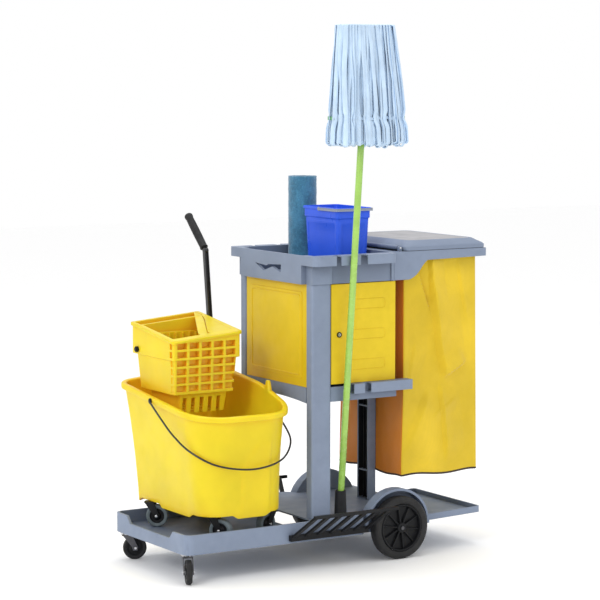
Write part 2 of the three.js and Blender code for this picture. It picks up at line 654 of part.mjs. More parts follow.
// ---------------------------------------------------------------- mop bucket
// The rim rises towards the far end, where the wringer sits, and slightly towards the cabinet.
function rimHeight(x, y) {
  const back = THREE.MathUtils.smoothstep(y, -230, 20);
  return 527.5 + 0.115 * y + 0.095 * (x - 40) * back;
}

function bucketBody() {
  const { bottom, x0, x1, y0, y1, wall, lip, lipHeight } = bucket;
  const low = { x0: 78, x1: 368, y0: -214, y1: 238 };
  const { lerp } = THREE.MathUtils;
  const between = (t, inset) => [lerp(low.x0, x0, t) + inset, lerp(low.x1, x1, t) - inset,
    lerp(low.y0, y0, t) + inset, lerp(low.y1, y1, t) - inset];
  const radii = (t, inset) => [lerp(72, 108, t) - inset, lerp(30, 36, t) - inset];
  const wallRing = (t, inset, height) => ring(...between(t, inset), radii(t, inset), height, 5);
  const drop = (amount) => (x, y) => rimHeight(x, y) - amount;
  const rings = [
    wallRing(0, 7, bottom), wallRing(0, 0, bottom + 10), wallRing(1, 0, drop(lipHeight)),
    wallRing(1, -lip, drop(lipHeight)), wallRing(1, -lip, drop(3)), wallRing(1, 3 - lip, drop(0)),
    wallRing(1, wall - 1, drop(0)), wallRing(1, wall, drop(4)), wallRing(0, wall, bottom + 12),
    wallRing(0, 11, bottom + wall),
  ];
  const pourStop = rod('z', 8, 534, 574, x1 + 4.5, -58, 16, 6);
  return join(loft(rings), pourStop);
}

// Bucket feet stand on four swivel casters; yaw points each wheel's trail.
const bucketCasters = [
  { name: 'a', x: 78, y: 142, yaw: -38 },
  { name: 'b', x: 134, y: -164, yaw: -50 },
  { name: 'c', x: 341, y: -157, yaw: 200 },
  { name: 'd', x: 330, y: 160, yaw: 150 },
];

function bucketCaster({ name, x, y, yaw }, parent) {
  const spec = bucketWheel;
  const group = new THREE.Group();
  group.position.set(x, y, 0);
  group.rotation.z = THREE.MathUtils.degToRad(yaw);
  parent.add(group);
  const half = spec.width / 2 + 8.5;
  const axle = rod('y', 4.3, -half, half, spec.trail, spec.wheelZ, 12);
  addPart(`bucket_fork_${name}`, join(casterFork(spec, spec.top, spec.top - 4), axle), BLACK, group);
  const wheelGroup = new THREE.Group();
  wheelGroup.position.set(spec.trail, 0, spec.wheelZ);
  group.add(wheelGroup);
  addPart(`bucket_wheel_${name}`, casterWheel(spec.radius, spec.width, 4.4), GREY_TYRE, wheelGroup);
}

// Wire handle hanging in front of the near end.
function bucketBail() {
  const swing = { y: 48, z: 522, reach: 354, tilt: 32 };
  const angle = THREE.MathUtils.degToRad(swing.tilt);
  const place = (x, along) => new THREE.Vector3(x, swing.y - along * Math.cos(angle),
    swing.z - along * Math.sin(angle));
  const points = [[28, 0], [24, 90], [26, 170], [50, 250], [118, 325], [224, swing.reach],
    [336, 325], [410, 250], [430, 170], [424, 90], [406.5, 0]];
  return bar(points.map(([x, along]) => place(x, along)), 2.6, 36, 3);
}

const mopBucket = new THREE.Group();
cart.add(mopBucket);
addPart('bucket_body', bucketBody(), BUCKET_YELLOW, mopBucket);
addPart('bucket_bail', bucketBail(), BLACK, mopBucket);
for (const spot of bucketCasters) bucketCaster(spot, mopBucket);

// ---------------------------------------------------------------- wringer
function wringerTop(x, y) {
  return 711 + 0.132 * (y + 22) + 0.085 * (x - 76);
}

// Square pockets over the near wall, with short notches where the rows reach the front wall.
function wringerPockets() {
  const { x0, y0, step } = wringer;
  const tools = [];
  for (let row = 0; row < pocket.rows; row += 1) {
    const z = step + 9 + row * pocket.pitchZ;
    for (let column = 0; column < pocket.columns; column += 1) {
      const x = x0 + 14 + column * pocket.pitchX;
      tools.push(box(x, x + pocket.width, y0 - 8, pocket.back, z, z + pocket.height));
    }
    tools.push(box(x0 - 8, x0 + 7, y0 + 8, y0 + 24, z, z + pocket.height));
  }
  return tools;
}

function wringerHousing() {
  const { x0, x1, y0, y1, step, bay, pivotY, pivotZ, hopperStart, hopperEnd } = wringer;
  const level = (inset) => [x0 + inset, x1 - inset, y0 + inset, y1 - inset];
  const skin = 5;
  const outer = loft([
    ring(82, 292, -16, 206, [5, 5], step, 2), ring(79, 302, -19, 222, [5, 5], bay - 2, 2),
    ring(...level(0), [6, 6], bay, 2), ring(...level(0), [6, 6], wringerTop, 2),
  ]);
  const hopper = loft([
    ring(89, 284, hopperStart, hopperEnd - 6, [4, 4], step + skin, 2),
    ring(88, 306, hopperStart, hopperEnd, [4, 4], 800, 2),
  ]);
  const gearBay = box(84, 306, hopperEnd + 5, y1 - skin, bay + skin, 800);
  const lipBand = cut(
    loft([ring(...level(-5), [8, 8], (x, y) => wringerTop(x, y) - 9, 2),
      ring(...level(-5), [8, 8], (x, y) => wringerTop(x, y) - 0.5, 2)]),
    loft([ring(...level(2), [5, 5], 660, 2), ring(...level(2), [5, 5], 800, 2)]));
  const drain = loft([
    ring(112, 268, 2, 170, [6, 6], 482, 2), ring(104, 276, -6, 184, [6, 6], step + 1, 2),
  ]);
  const drainRoom = loft([
    ring(118, 262, 8, 164, [4, 4], 487, 2), ring(110, 270, 4, 178, [4, 4], step + skin + 1, 2),
  ]);
  const slots = Array.from({ length: 5 }, (_, i) => box(118 + i * 30, 132 + i * 30, -20, 158, 478, 530));
  const shaftHole = rod('x', 6.3, 60, 330, pivotY, pivotZ);
  const rooms = [hopper, gearBay, drainRoom, shaftHole, ...slots, ...wringerPockets()];
  return cut(join(outer, lipBand, drain), ...rooms);
}

function pressPlate() {
  const plate = box(91, 281, 183, 189, 560, 716);
  const ribs = Array.from({ length: 8 }, (_, i) => box(97 + i * 24, 103 + i * 24, 178, 184, 562, 712));
  return join(plate, ...ribs);
}

// Lever: a hub on the shaft and a channel arm that bends back towards the grip.
const leverLine = [[wringer.pivotY, wringer.pivotZ], [222, 752], [247, 962], [362, 1070]];

function leverPath(x, from, to) {
  return leverLine.slice(from, to + 1).map(([y, z]) => new THREE.Vector3(x, y, z));
}

function wringerLever() {
  const { leverX: x, pivotY, pivotZ } = wringer;
  const hub = rod('x', 17, x - 7, x + 7, pivotY, pivotZ);
  const bars = [-5.5, 5.5].map((offset) => {
    const [hubPoint, waist, bend] = leverPath(x + offset, 0, 2);
    return join(slat(hubPoint, waist, 3.5, 15), slat(waist.clone().setZ(waist.z - 1), bend, 3.5, 14));
  });
  const web = [0, 1].map((i) => slat(...leverPath(x, i, i + 1), 12, 4));
  const end = leverPath(x, 2, 3);
  const tang = slat(end[0], end[1].clone().lerp(end[0], 0.08), 9, 9);
  const knuckle = rod('x', 8.5, x - 7, x + 7, end[0].y, end[0].z, 20);
  const square = rod('x', 6.2, x - 12, x + 12, pivotY, pivotZ);
  return cut(join(hub, ...bars, ...web, tang, knuckle), square);
}

// Shaft across the gear bay, with a flanged bush at its free end.
function wringerShaft() {
  const { x0, pivotY, pivotZ, leverX } = wringer;
  const shaft = rod('x', 6, x0 - 10, leverX + 12, pivotY, pivotZ);
  return join(shaft, rod('x', 9.5, x0 - 7, x0 - GAP, pivotY, pivotZ));
}

function leverGrip() {
  const [bend, tip] = leverPath(wringer.leverX, 2, 3);
  const along = tip.clone().sub(bend).normalize();
  const start = bend.clone().addScaledVector(along, 12);
  const length = tip.clone().sub(start).length();
  const profile = [[0, 0], [12.5, 0], [13.5, 4], [12, 12], [12.5, length - 14], [14, length - 8],
    [12, length - 2], [0, length]].map(([r, z]) => new THREE.Vector2(r, z));
  const geometry = new THREE.LatheGeometry(profile, 20);
  const turn = new THREE.Quaternion().setFromUnitVectors(new THREE.Vector3(0, 1, 0), along);
  geometry.applyQuaternion(turn).translate(start.x, start.y, start.z);
  const room = slat(bend, tip.clone().lerp(bend, 0.07), 9 + 2 * GAP, 9 + 2 * GAP);
  return cut(geometry, room);
}

addPart('wringer_housing', wringerHousing(), BUCKET_YELLOW, mopBucket);
addPart('press_plate', pressPlate(), BUCKET_YELLOW, mopBucket);
addPart('wringer_shaft', wringerShaft(), BLACK, mopBucket);
addPart('wringer_lever', wringerLever(), BLACK, mopBucket);
addPart('lever_grip', leverGrip(), BLACK, mopBucket);

// ---------------------------------------------------------------- small bucket and cloth roll
function pailBody() {
  const { x0, x1, y0, y1, bottom, top, wall } = pail;
  const taper = 11;
  const at = (inset, z, radius = 12) => {
    const r = Math.max(radius - Math.max(inset, 0) * 0.3, 3);
    return ring(x0 + inset, x1 - inset, y0 + inset, y1 - inset, [r, r], z, 4);
  };
  const shoulder = top - 34;
  return loft([
    at(taper + 4, bottom), at(taper, bottom + 4), at(3.5, shoulder), at(0, shoulder + 1), at(0, top - 8),
    at(-3, top - 8), at(-3, top), at(wall, top), at(3.5 + wall, shoulder), at(taper + wall, bottom + 5),
    at(taper + wall + 3, bottom + 3),
  ]);
}

const pailPivot = { y: -15, z: 1101 };

function pailBail() {
  const { x0, x1, y0 } = pail;
  const reach = 6;
  const chamfer = 3;
  const points = [[x0 - reach, pailPivot.y], [x0 - reach, y0 + chamfer], [x0 + chamfer, y0 - reach],
    [x1 - chamfer, y0 - reach], [x1 + reach, y0 + chamfer], [x1 + reach, pailPivot.y]];
  return points.slice(1).reduce((solid, point, i) => {
    const [ax, ay] = points[i];
    const [bx, by] = point;
    const leg = slatFlat(ax, ay, bx, by);
    return solid ? join(solid, leg) : leg;
  }, null);
}

// Upright strip of the pail's handle between two plan points.
function slatFlat(ax, ay, bx, by) {
  const length = Math.hypot(bx - ax, by - ay);
  const strip = new THREE.BoxGeometry(length + 2, 2.4, 9);
  return strip.rotateZ(Math.atan2(by - ay, bx - ax)).translate((ax + bx) / 2, (ay + by) / 2, pailPivot.z);
}

const pailGroup = new THREE.Group();
cart.add(pailGroup);
addPart('blue_bucket', pailBody(), BLUE, pailGroup);
addPart('blue_bucket_bail', pailBail(), STEEL, pailGroup);
addPart('cloth_roll', rod('z', roll.radius, tray.floor + GAP, roll.top, roll.x, roll.y, 24), TEAL);

// ---------------------------------------------------------------- own frame
// Origin: centre of the outer box in plan, at floor level.
const bounds = new THREE.Box3().setFromObject(cart, true);
const centre = bounds.getCenter(new THREE.Vector3());
cart.position.set(-centre.x, -centre.y, -bounds.min.z);
cart.updateMatrixWorld(true);

export default cart;
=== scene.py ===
"""Looks of the housekeeping cart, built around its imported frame. Metres; near is -Y, far is +Y."""
import json
import math
import random

import bpy
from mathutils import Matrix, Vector, noise


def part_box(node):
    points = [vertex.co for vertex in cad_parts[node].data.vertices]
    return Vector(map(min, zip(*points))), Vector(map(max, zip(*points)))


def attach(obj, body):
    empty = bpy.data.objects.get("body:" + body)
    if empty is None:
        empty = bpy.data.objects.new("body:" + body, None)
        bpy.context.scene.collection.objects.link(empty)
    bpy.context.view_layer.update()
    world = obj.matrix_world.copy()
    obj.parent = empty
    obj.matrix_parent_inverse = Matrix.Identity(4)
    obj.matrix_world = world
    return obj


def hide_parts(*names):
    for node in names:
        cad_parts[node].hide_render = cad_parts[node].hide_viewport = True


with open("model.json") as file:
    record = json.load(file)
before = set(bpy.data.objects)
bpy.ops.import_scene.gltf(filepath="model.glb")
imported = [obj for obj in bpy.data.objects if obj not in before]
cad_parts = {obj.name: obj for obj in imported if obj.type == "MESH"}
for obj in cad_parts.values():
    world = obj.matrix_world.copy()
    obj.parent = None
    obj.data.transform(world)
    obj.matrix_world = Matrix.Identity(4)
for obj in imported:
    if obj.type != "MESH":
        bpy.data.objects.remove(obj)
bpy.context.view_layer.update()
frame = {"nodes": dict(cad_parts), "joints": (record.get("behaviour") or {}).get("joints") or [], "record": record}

MM = 0.001
PLATFORM_LOW, PLATFORM_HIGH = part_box("base_platform")
# Front end of the platform, on the cart's centre plane, at floor level.
ORIGIN = Vector((PLATFORM_LOW.x, (PLATFORM_LOW.y + PLATFORM_HIGH.y) / 2, 0))
SIDES = {"near": -1, "far": 1}
TAU = 2 * math.pi


# ---------------------------------------------------------------- camera, floor and light
CAMERA = {"lens": 141.76, "place": (-3.3748, -6.3399, 1.5647), "tilt": 84.239, "turn": -31.732}
LIGHTS = {  # place, size of the square lamp, watts
    "key": ((-4.6, -2.0, 3.2), 1.5, 72),
    "fill": ((1.6, -4.8, 2.0), 2.4, 8),
    "top": ((0.4, 0.6, 4.6), 2.4, 60),
}
LIT_POINT = (0, 0, 0.7)
FLOOR_REACH = 14


def aim(obj, target):
    obj.rotation_euler = (Vector(target) - obj.location).to_track_quat("-Z", "Y").to_euler()


def camera():
    data = bpy.data.cameras.new("camera")
    data.lens = CAMERA["lens"]
    data.clip_end = 60
    obj = bpy.data.objects.new("camera", data)
    obj.location = ORIGIN + Vector(CAMERA["place"])
    obj.rotation_euler = (math.radians(CAMERA["tilt"]), 0, math.radians(CAMERA["turn"]))
    bpy.context.scene.collection.objects.link(obj)
    bpy.context.scene.camera = obj


def area_light(name, place, size, power):
    data = bpy.data.lights.new(name, "AREA")
    data.size = size
    data.energy = power
    obj = bpy.data.objects.new(name, data)
    obj.location = place
    bpy.context.scene.collection.objects.link(obj)
    aim(obj, LIT_POINT)


def studio():
    bpy.context.scene.view_settings.view_transform = "Standard"
    world = bpy.data.worlds.new("studio")
    world.use_nodes = True
    sky = world.node_tree.nodes["Background"]
    sky.inputs["Color"].default_value = (1, 1, 1, 1)
    sky.inputs["Strength"].default_value = 1.0
    bpy.context.scene.world = world
    for name, (place, size, power) in LIGHTS.items():
        area_light(name, place, size, power)
    floor_sheet()


def floor_sheet():
    """Pale matt floor under everything."""
    mesh = bpy.data.meshes.new("floor")
    corners = [(-1, -1), (1, -1), (1, 1), (-1, 1)]
    mesh.from_pydata([(x * FLOOR_REACH, y * FLOOR_REACH, 0) for x, y in corners], [], [(0, 1, 2, 3)])
    floor = bpy.data.objects.new("floor", mesh)
    bpy.context.scene.collection.objects.link(floor)
    paint = bpy.data.materials.new("floor")
    paint.use_nodes = True
    shader = paint.node_tree.nodes["Principled BSDF"]
    shader.inputs["Base Color"].default_value = (0.985, 0.985, 0.985, 1)
    shader.inputs["Roughness"].default_value = 0.9
    mesh.materials.append(paint)


# ---------------------------------------------------------------- materials
class Look:
    """A node material: colour with slow variation and roughness with smudges."""

    def __init__(self, name, color, roughness, metallic=0.0, vary=0.06, patch=7.0):
        self.material = bpy.data.materials.new(name)
        self.material.use_nodes = True
        self.tree = self.material.node_tree
        self.shader = self.tree.nodes["Principled BSDF"]
        self.shader.inputs["Metallic"].default_value = metallic
        self.coordinates = self.node("ShaderNodeTexCoord").outputs["Object"]
        self.color = self.mixed_color(color, vary, patch)
        self.link(self.color, "Base Color")
        smudge = self.noise(patch * 3, 4)
        low, high = max(roughness - 0.07, 0.05), min(roughness + 0.09, 1.0)
        self.link(self.ranged(smudge, 0.3, 0.7, low, high), "Roughness")

    def node(self, kind, **values):
        made = self.tree.nodes.new(kind)
        for key, value in values.items():
            if hasattr(made, key):
                setattr(made, key, value)
            else:
                made.inputs[key.replace("_", " ")].default_value = value
        return made

    def join(self, output, target):
        self.tree.links.new(output, target)

    def link(self, output, socket):
        self.join(output, self.shader.inputs[socket])

    def noise(self, scale, detail=2.0, stretch=None):
        made = self.node("ShaderNodeTexNoise", Scale=scale, Detail=detail)
        source = self.coordinates
        if stretch:
            mapping = self.node("ShaderNodeMapping")
            mapping.inputs["Scale"].default_value = stretch
            self.join(source, mapping.inputs["Vector"])
            source = mapping.outputs["Vector"]
        self.join(source, made.inputs["Vector"])
        return made.outputs["Fac"]

    def wave(self, scale, direction):
        made = self.node("ShaderNodeTexWave", Scale=scale, Distortion=0.0)
        made.bands_direction = direction
        self.join(self.coordinates, made.inputs["Vector"])
        return made.outputs["Fac"]

    def ranged(self, value, low, high, to_low, to_high):
        made = self.node("ShaderNodeMapRange")
        for key, number in zip(("From Min", "From Max", "To Min", "To Max"), (low, high, to_low, to_high)):
            made.inputs[key].default_value = number
        self.join(value, made.inputs["Value"])
        return made.outputs["Result"]

    def math(self, operation, a, b):
        made = self.node("ShaderNodeMath", operation=operation)
        for socket, value in zip(made.inputs, (a, b)):
            if isinstance(value, (int, float)):
                socket.default_value = value
            else:
                self.join(value, socket)
        return made.outputs[0]

    def mix(self, factor, a, b):
        made = self.node("ShaderNodeMix", data_type="RGBA")
        for socket, value in zip((made.inputs[0], made.inputs[6], made.inputs[7]), (factor, a, b)):
            if isinstance(value, tuple):
                socket.default_value = (*value, 1)
            else:
                self.join(value, socket)
        return made.outputs[2]

    def mixed_color(self, color, vary, patch):
        dark = tuple(c * (1 - vary) for c in color)
        light = tuple(min(c * (1 + vary) + vary * 0.03, 1) for c in color)
        return self.mix(self.ranged(self.noise(patch, 5), 0.35, 0.65, 0, 1), dark, light)

    def tint(self, factor, color):
        """Mixes a second colour in where factor is 1."""
        self.color = self.mix(factor, self.color, color)
        self.link(self.color, "Base Color")

    def worn_edges(self, color, amount=0.5):
        """Convex edges show a lighter rubbed tone."""
        edge = self.ranged(self.node("ShaderNodeNewGeometry").outputs["Pointiness"], 0.53, 0.6, 0, amount)
        self.tint(self.math("MULTIPLY", edge, self.noise(40, 4)), color)

    def paint_shade_in_hollows(self, color):
        """Painted shade and bounce light: a deeper colour mixed in by ambient occlusion in hollows, where the
        walls shade each other and light bounces between them.
        """
        made = self.node("ShaderNodeAmbientOcclusion", samples=6)
        made.inputs["Distance"].default_value = 0.14
        self.tint(self.ranged(made.outputs["AO"], 0.25, 0.9, 0.8, 0), color)

    def soft_edges(self, radius):
        made = self.node("ShaderNodeBevel", samples=6)
        made.inputs["Radius"].default_value = radius
        return made.outputs["Normal"]

    def bump(self, height, strength, distance, under=None):
        made = self.node("ShaderNodeBump")
        made.inputs["Strength"].default_value = strength
        made.inputs["Distance"].default_value = distance
        self.join(height, made.inputs["Height"])
        if under is not None:
            self.join(under, made.inputs["Normal"])
        self.link(made.outputs["Normal"], "Normal")
        return made.outputs["Normal"]

    def set(self, **values):
        for key, value in values.items():
            self.shader.inputs[key.replace("_", " ")].default_value = value
        return self


def moulded(name, color, roughness, rounding=0.0016, grain=900, depth=0.0001, specular=0.28, hollow_shade=None):
    """Moulded plastic: soft edges, fine spark-eroded grain and faint rubbing along edges; the hollow colour, when
    given, is painted shade mixed into the hollows.
    """
    look = Look(name, color, roughness)
    # Painted shade: the hollow colour is mixed in where ambient occlusion finds hollows.
    if hollow_shade:
        look.paint_shade_in_hollows(hollow_shade)
    look.worn_edges(tuple(min(c * 1.35 + 0.02, 1) for c in color))
    under = look.bump(look.noise(14, 2), 0.12, 0.0012, look.soft_edges(rounding))
    look.bump(look.noise(grain, 2), 0.35, depth, under)
    return look.set(Specular_IOR_Level=specular)


def metal(name, color, roughness):
    """Plated or bare steel: fine brushed streaks and a little dullness."""
    look = Look(name, color, roughness, metallic=1.0, vary=0.1, patch=30)
    look.bump(look.noise(60, 3, (1, 1, 14)), 0.25, 0.0002, look.soft_edges(0.0008))
    return look


def coated(name, color, roughness, coat=0.3):
    """Painted or coated steel: even colour, light orange peel, a thin gloss coat."""
    look = Look(name, color, roughness, vary=0.08, patch=20)
    look.bump(look.noise(420, 2), 0.2, 0.0001, look.soft_edges(0.0008))
    return look.set(Coat_Weight=coat, Coat_Roughness=0.15)


def rubber(name, color, roughness):
    look = Look(name, color, roughness, vary=0.16, patch=18)
    look.tint(look.ranged(look.noise(55, 6), 0.52, 0.8, 0, 0.35), tuple(c * 1.6 + 0.03 for c in color))
    look.bump(look.noise(600, 3), 0.3, 0.00015, look.soft_edges(0.001))
    return look.set(Specular_IOR_Level=0.3)


def nylon(name, color, roughness):
    """Coated plain-weave nylon: crossed threads, mottled tone, soft sheen."""
    look = Look(name, color, roughness, vary=0.12, patch=5)
    thread = 0.0016
    bands = math.pi / (10 * thread)  # a wave texture repeats every pi / (10 scale)
    across = look.math("MAXIMUM", look.wave(bands, "X"), look.wave(bands, "Y"))
    weave = look.math("MULTIPLY", across, look.wave(bands, "Z"))
    look.tint(look.ranged(weave, 0, 1, 0.16, 0), tuple(c * 0.55 for c in color))
    creased = look.bump(look.noise(22, 5), 0.5, 0.004)
    look.bump(weave, 0.35, 0.0003, creased)
    return look.set(Sheen_Weight=0.15, Specular_IOR_Level=0.35)


def bag_look():
    """Yellow nylon with painted shade: its front panel, which faces the cabinet and lies in its shade, is tinted a
    deeper orange.
    """
    yellow, painted_shade_orange = (0.72, 0.50, 0.012), (0.74, 0.17, 0.006)
    look = nylon("bag_fabric", yellow, 0.6)
    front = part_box("waste_bag")[0].x
    facing, place = look.node("ShaderNodeSeparateXYZ"), look.node("ShaderNodeSeparateXYZ")
    look.join(look.node("ShaderNodeNewGeometry").outputs["Normal"], facing.inputs["Vector"])
    look.join(look.coordinates, place.inputs["Vector"])
    forward = look.ranged(facing.outputs["X"], -0.95, -0.75, 0.8, 0)
    near_front = look.ranged(place.outputs["X"], front + 0.015, front + 0.025, 1, 0)
    # Painted shade: faces turned towards the cabinet, near the front, take the deeper orange.
    look.tint(look.math("MULTIPLY", forward, near_front), painted_shade_orange)
    return look


def terry(name, color, loop, depth):
    """Looped pile: a mottled tone with tiny loops standing up."""
    look = Look(name, color, 0.95, vary=0.22, patch=24)
    look.tint(look.ranged(look.noise(110, 4), 0.5, 0.68, 0, 0.5), tuple(c * 1.7 for c in color))
    pile = look.node("ShaderNodeTexVoronoi", Scale=loop)
    look.join(look.coordinates, pile.inputs["Vector"])
    look.tint(look.ranged(pile.outputs["Distance"], 0.1, 0.7, 0, 0.5), tuple(c * 0.55 for c in color))
    look.bump(pile.outputs["Distance"], 0.8, depth)
    return look.set(Sheen_Weight=0.5, Sheen_Roughness=0.5, Specular_IOR_Level=0.1)


def strips_look():
    """Non-woven mop strips: pale, with bluer fibres along them."""
    color = (0.56, 0.70, 0.845)
    look = Look("mop_strips", color, 0.9, vary=0.08, patch=16)
    fibre = look.noise(260, 3, (1, 1, 0.12))
    look.tint(look.ranged(fibre, 0.3, 0.7, 0.35, 0), (0.34, 0.50, 0.75))
    look.bump(fibre, 0.5, 0.0006)
    return look.set(Sheen_Weight=0.3, Specular_IOR_Level=0.15)


GREY = (0.195, 0.238, 0.325)
YELLOW = (0.66, 0.475, 0.008)
BUCKET = (0.745, 0.575, 0.012)


def looks():
    made = {
        # The hollow colours are painted shade: darker grey and deeper orange-yellow mixed into hollows by ambient
        # occlusion.
        "grey_plastic": moulded("grey_plastic", GREY, 0.5, hollow_shade=(0.10, 0.122, 0.17)),
        "yellow_panel": moulded("yellow_panel", YELLOW, 0.45, rounding=0.001, hollow_shade=(0.68, 0.36, 0.008)),
        "yellow_bucket": moulded("yellow_bucket", BUCKET, 0.36, rounding=0.002,
                                 hollow_shade=(0.88, 0.42, 0.015)).set(
            Subsurface_Weight=0.25, Subsurface_Scale=0.02, Subsurface_Radius=(1.0, 0.6, 0.1)),
        "black_plastic": moulded("black_plastic", (0.006, 0.0065, 0.008), 0.42, specular=0.2),
        "blue_plastic": moulded("blue_plastic", (0.028, 0.11, 0.78), 0.32, depth=0.00005),
        "grey_trim": moulded("grey_trim", (0.26, 0.29, 0.36), 0.45),
        "black_grip": rubber("black_grip", (0.013, 0.013, 0.014), 0.6),
        "black_tyre": rubber("black_tyre", (0.012, 0.012, 0.013), 0.55),
        "grey_tyre": rubber("grey_tyre", (0.12, 0.15, 0.165), 0.6),
        "black_wire": coated("black_wire", (0.007, 0.007, 0.008), 0.35, 0.15),
        "black_steel": coated("black_steel", (0.008, 0.008, 0.010), 0.38, 0.15),
        "green_pole": coated("green_pole", (0.31, 0.54, 0.09), 0.25, 0.5),
        "steel": metal("steel", (0.62, 0.63, 0.65), 0.26),
        "bag_fabric": bag_look(),
        "mop_cloth": strips_look(),
        "teal_cloth": terry("teal_cloth", (0.06, 0.21, 0.34), 420, 0.0012),
    }
    return {name: look.material for name, look in made.items()}


# ---------------------------------------------------------------- mesh helpers
def piece(name, shape, slot, body, stands_for=(), smooth=40):
    """A mesh piece in the row frame that rides on a body; shape is (verts, faces)."""
    verts, faces = shape
    mesh = bpy.data.meshes.new(name)
    mesh.from_pydata([tuple(v) for v in verts], [], faces)
    mesh.validate()
    if smooth:
        mesh.shade_smooth()
        mesh.set_sharp_from_angle(angle=math.radians(smooth))
    obj = bpy.data.objects.new(name, mesh)
    bpy.context.scene.collection.objects.link(obj)
    mesh.materials.append(MATERIALS[slot])
    return settle(obj, body, stands_for)


def settle(obj, body, stands_for=()):
    if stands_for:
        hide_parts(*stands_for)
    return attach(obj, body)


def thicken(obj, thickness):
    """Gives a sheet its thickness, inwards from its face."""
    modifier = obj.modifiers.new("thickness", "SOLIDIFY")
    modifier.thickness = thickness
    modifier.offset = -1


def merged(parts):
    """Joins (verts, faces) pairs into one."""
    verts, faces = [], []
    for part_verts, part_faces in parts:
        first = len(verts)
        verts += part_verts
        faces += [tuple(first + i for i in face) for face in part_faces]
    return verts, faces


def skin(rings, closed=True, caps=(False, False)):
    """Quads between successive rings of points with the same count."""
    count = len(rings[0])
    verts = [point for ring in rings for point in ring]
    faces = []
    for r in range(len(rings) - 1):
        for i in range(count if closed else count - 1):
            a, b = r * count + i, r * count + (i + 1) % count
            faces.append((a, b, b + count, a + count))
    last = (len(rings) - 1) * count
    if caps[0]:
        faces.append(tuple(reversed(range(count))))
    if caps[1]:
        faces.append(tuple(range(last, last + count)))
    return verts, faces


def rounded_rect(x0, x1, y0, y1, radii, steps):
    """Plan outline, counter-clockwise from above; radii is one radius or (low-Y, high-Y corners)."""
    low, high = radii if isinstance(radii, tuple) else (radii, radii)
    corners = [(x1 - low, y0 + low, low, -90), (x1 - high, y1 - high, high, 0),
               (x0 + high, y1 - high, high, 90), (x0 + low, y0 + low, low, 180)]
    points = []
    for cx, cy, radius, start in corners:
        for i in range(steps + 1):
            angle = math.radians(start + 90 * i / steps)
            points.append((cx + radius * math.cos(angle), cy + radius * math.sin(angle)))
    return points


def evenly(outline, count):
    """A closed plan outline resampled to count points at even distances."""
    closed = outline + outline[:1]
    lengths = [0.0]
    for a, b in zip(closed, closed[1:]):
        lengths.append(lengths[-1] + math.dist(a, b))
    points, k = [], 0
    for i in range(count):
        target = lengths[-1] * i / count
        while lengths[k + 1] < target:
            k += 1
        share = (target - lengths[k]) / max(lengths[k + 1] - lengths[k], 1e-9)
        a, b = closed[k], closed[k + 1]
        points.append((a[0] + (b[0] - a[0]) * share, a[1] + (b[1] - a[1]) * share))
    return points


def lathe(profile, centre, axis, segments=96):
    """Solid of revolution; profile is a closed loop of (radius, along) points."""
    turn = up(1).rotation_difference(Vector(axis)).to_matrix()
    rings = []
    for i in range(segments):
        angle = TAU * i / segments
        rings.append([Vector(centre) + turn @ Vector((r * math.cos(angle), r * math.sin(angle), along))
                      for r, along in profile])
    rings.append(rings[0])
    verts, faces = skin(rings)
    total = segments * len(profile)
    return verts[:total], [tuple(i % total for i in face) for face in faces]


def swept(points, radius, sides=12, closed=False):
    """Round tube along points, closed on itself or with its ends capped."""
    rings = []
    count = len(points)
    side = None
    for i, point in enumerate(points):
        after = points[(i + 1) % count] if closed else points[min(i + 1, count - 1)]
        before = points[i - 1] if closed else points[max(i - 1, 0)]
        ahead = (Vector(after) - Vector(before)).normalized()
        if side is None:
            side = ahead.orthogonal().normalized()
        side = (side - ahead * side.dot(ahead)).normalized()
        up = ahead.cross(side)
        rings.append([Vector(point) + radius * (math.cos(TAU * k / sides) * side
                      + math.sin(TAU * k / sides) * up) for k in range(sides)])
    if closed:
        rings.append(rings[0])
        return skin(rings)
    return skin(rings, caps=(True, True))


def smooth_path(points, per_span=8, closed=False):
    """Catmull-Rom points through the given ones."""
    points = [Vector(p) for p in points]
    count = len(points)
    spans = count if closed else count - 1
    path = []
    for i in range(spans):
        if closed:
            p = [points[(i + k) % count] for k in (-1, 0, 1, 2)]
        else:
            p = [points[min(max(i + k, 0), count - 1)] for k in (-1, 0, 1, 2)]
        linear = p[2] - p[0]
        square = 2 * p[0] - 5 * p[1] + 4 * p[2] - p[3]
        cubic = 3 * p[1] - p[0] - 3 * p[2] + p[3]
        for j in range(per_span):
            t = j / per_span
            path.append(0.5 * ((2 * p[1]) + linear * t + square * t * t + cubic * t ** 3))
    if not closed:
        path.append(points[-1])
    return path


def smoothstep(value, low, high):
    t = min(max((value - low) / (high - low), 0), 1)
    return t * t * (3 - 2 * t)


def mix(a, b, t):
    return a + (b - a) * t


def up(height):
    return Vector((0, 0, height))


def at(x, y, z):
    """A point given in millimetres from the platform's front end, centre plane and floor."""
    return ORIGIN + Vector((x, y, z)) * MM


JOINTS = {joint["child"]: joint for joint in frame["joints"]}


def pivot(body):
    joint = JOINTS[body]
    return Vector(joint["pos_m"]), Vector(joint["axis"]).normalized()


def arc(centre, radius, start, end, steps):
    """Profile points on an arc; angles in degrees."""
    points = []
    for i in range(steps + 1):
        angle = math.radians(mix(start, end, i / steps))
        points.append((centre[0] + radius * math.cos(angle), centre[1] + radius * math.sin(angle)))
    return points


def mirrored(profile, middle=()):
    """A closed (radius, along) loop: a profile, its middle points and the profile's mirror image."""
    return [*profile, *middle] + [(radius, -along) for radius, along in reversed(profile)]


# ---------------------------------------------------------------- wheels
def tyre_profile(inner, outer, half, shoulder):
    """Closed (radius, along) loop of a smooth tyre with rounded shoulders and a low crown."""
    crown = [(outer + 0.0004 * math.cos(math.pi * k / 6 - math.pi / 2), half * (k / 3 - 1) * 0.5)
             for k in range(7)]
    wall = [(inner, -half * 0.82), (inner + 0.002, -half * 0.9), (mix(inner, outer, 0.5), -half)]
    return mirrored(wall + arc((outer - shoulder, -half + shoulder), shoulder, -90, 0, 6), crown)


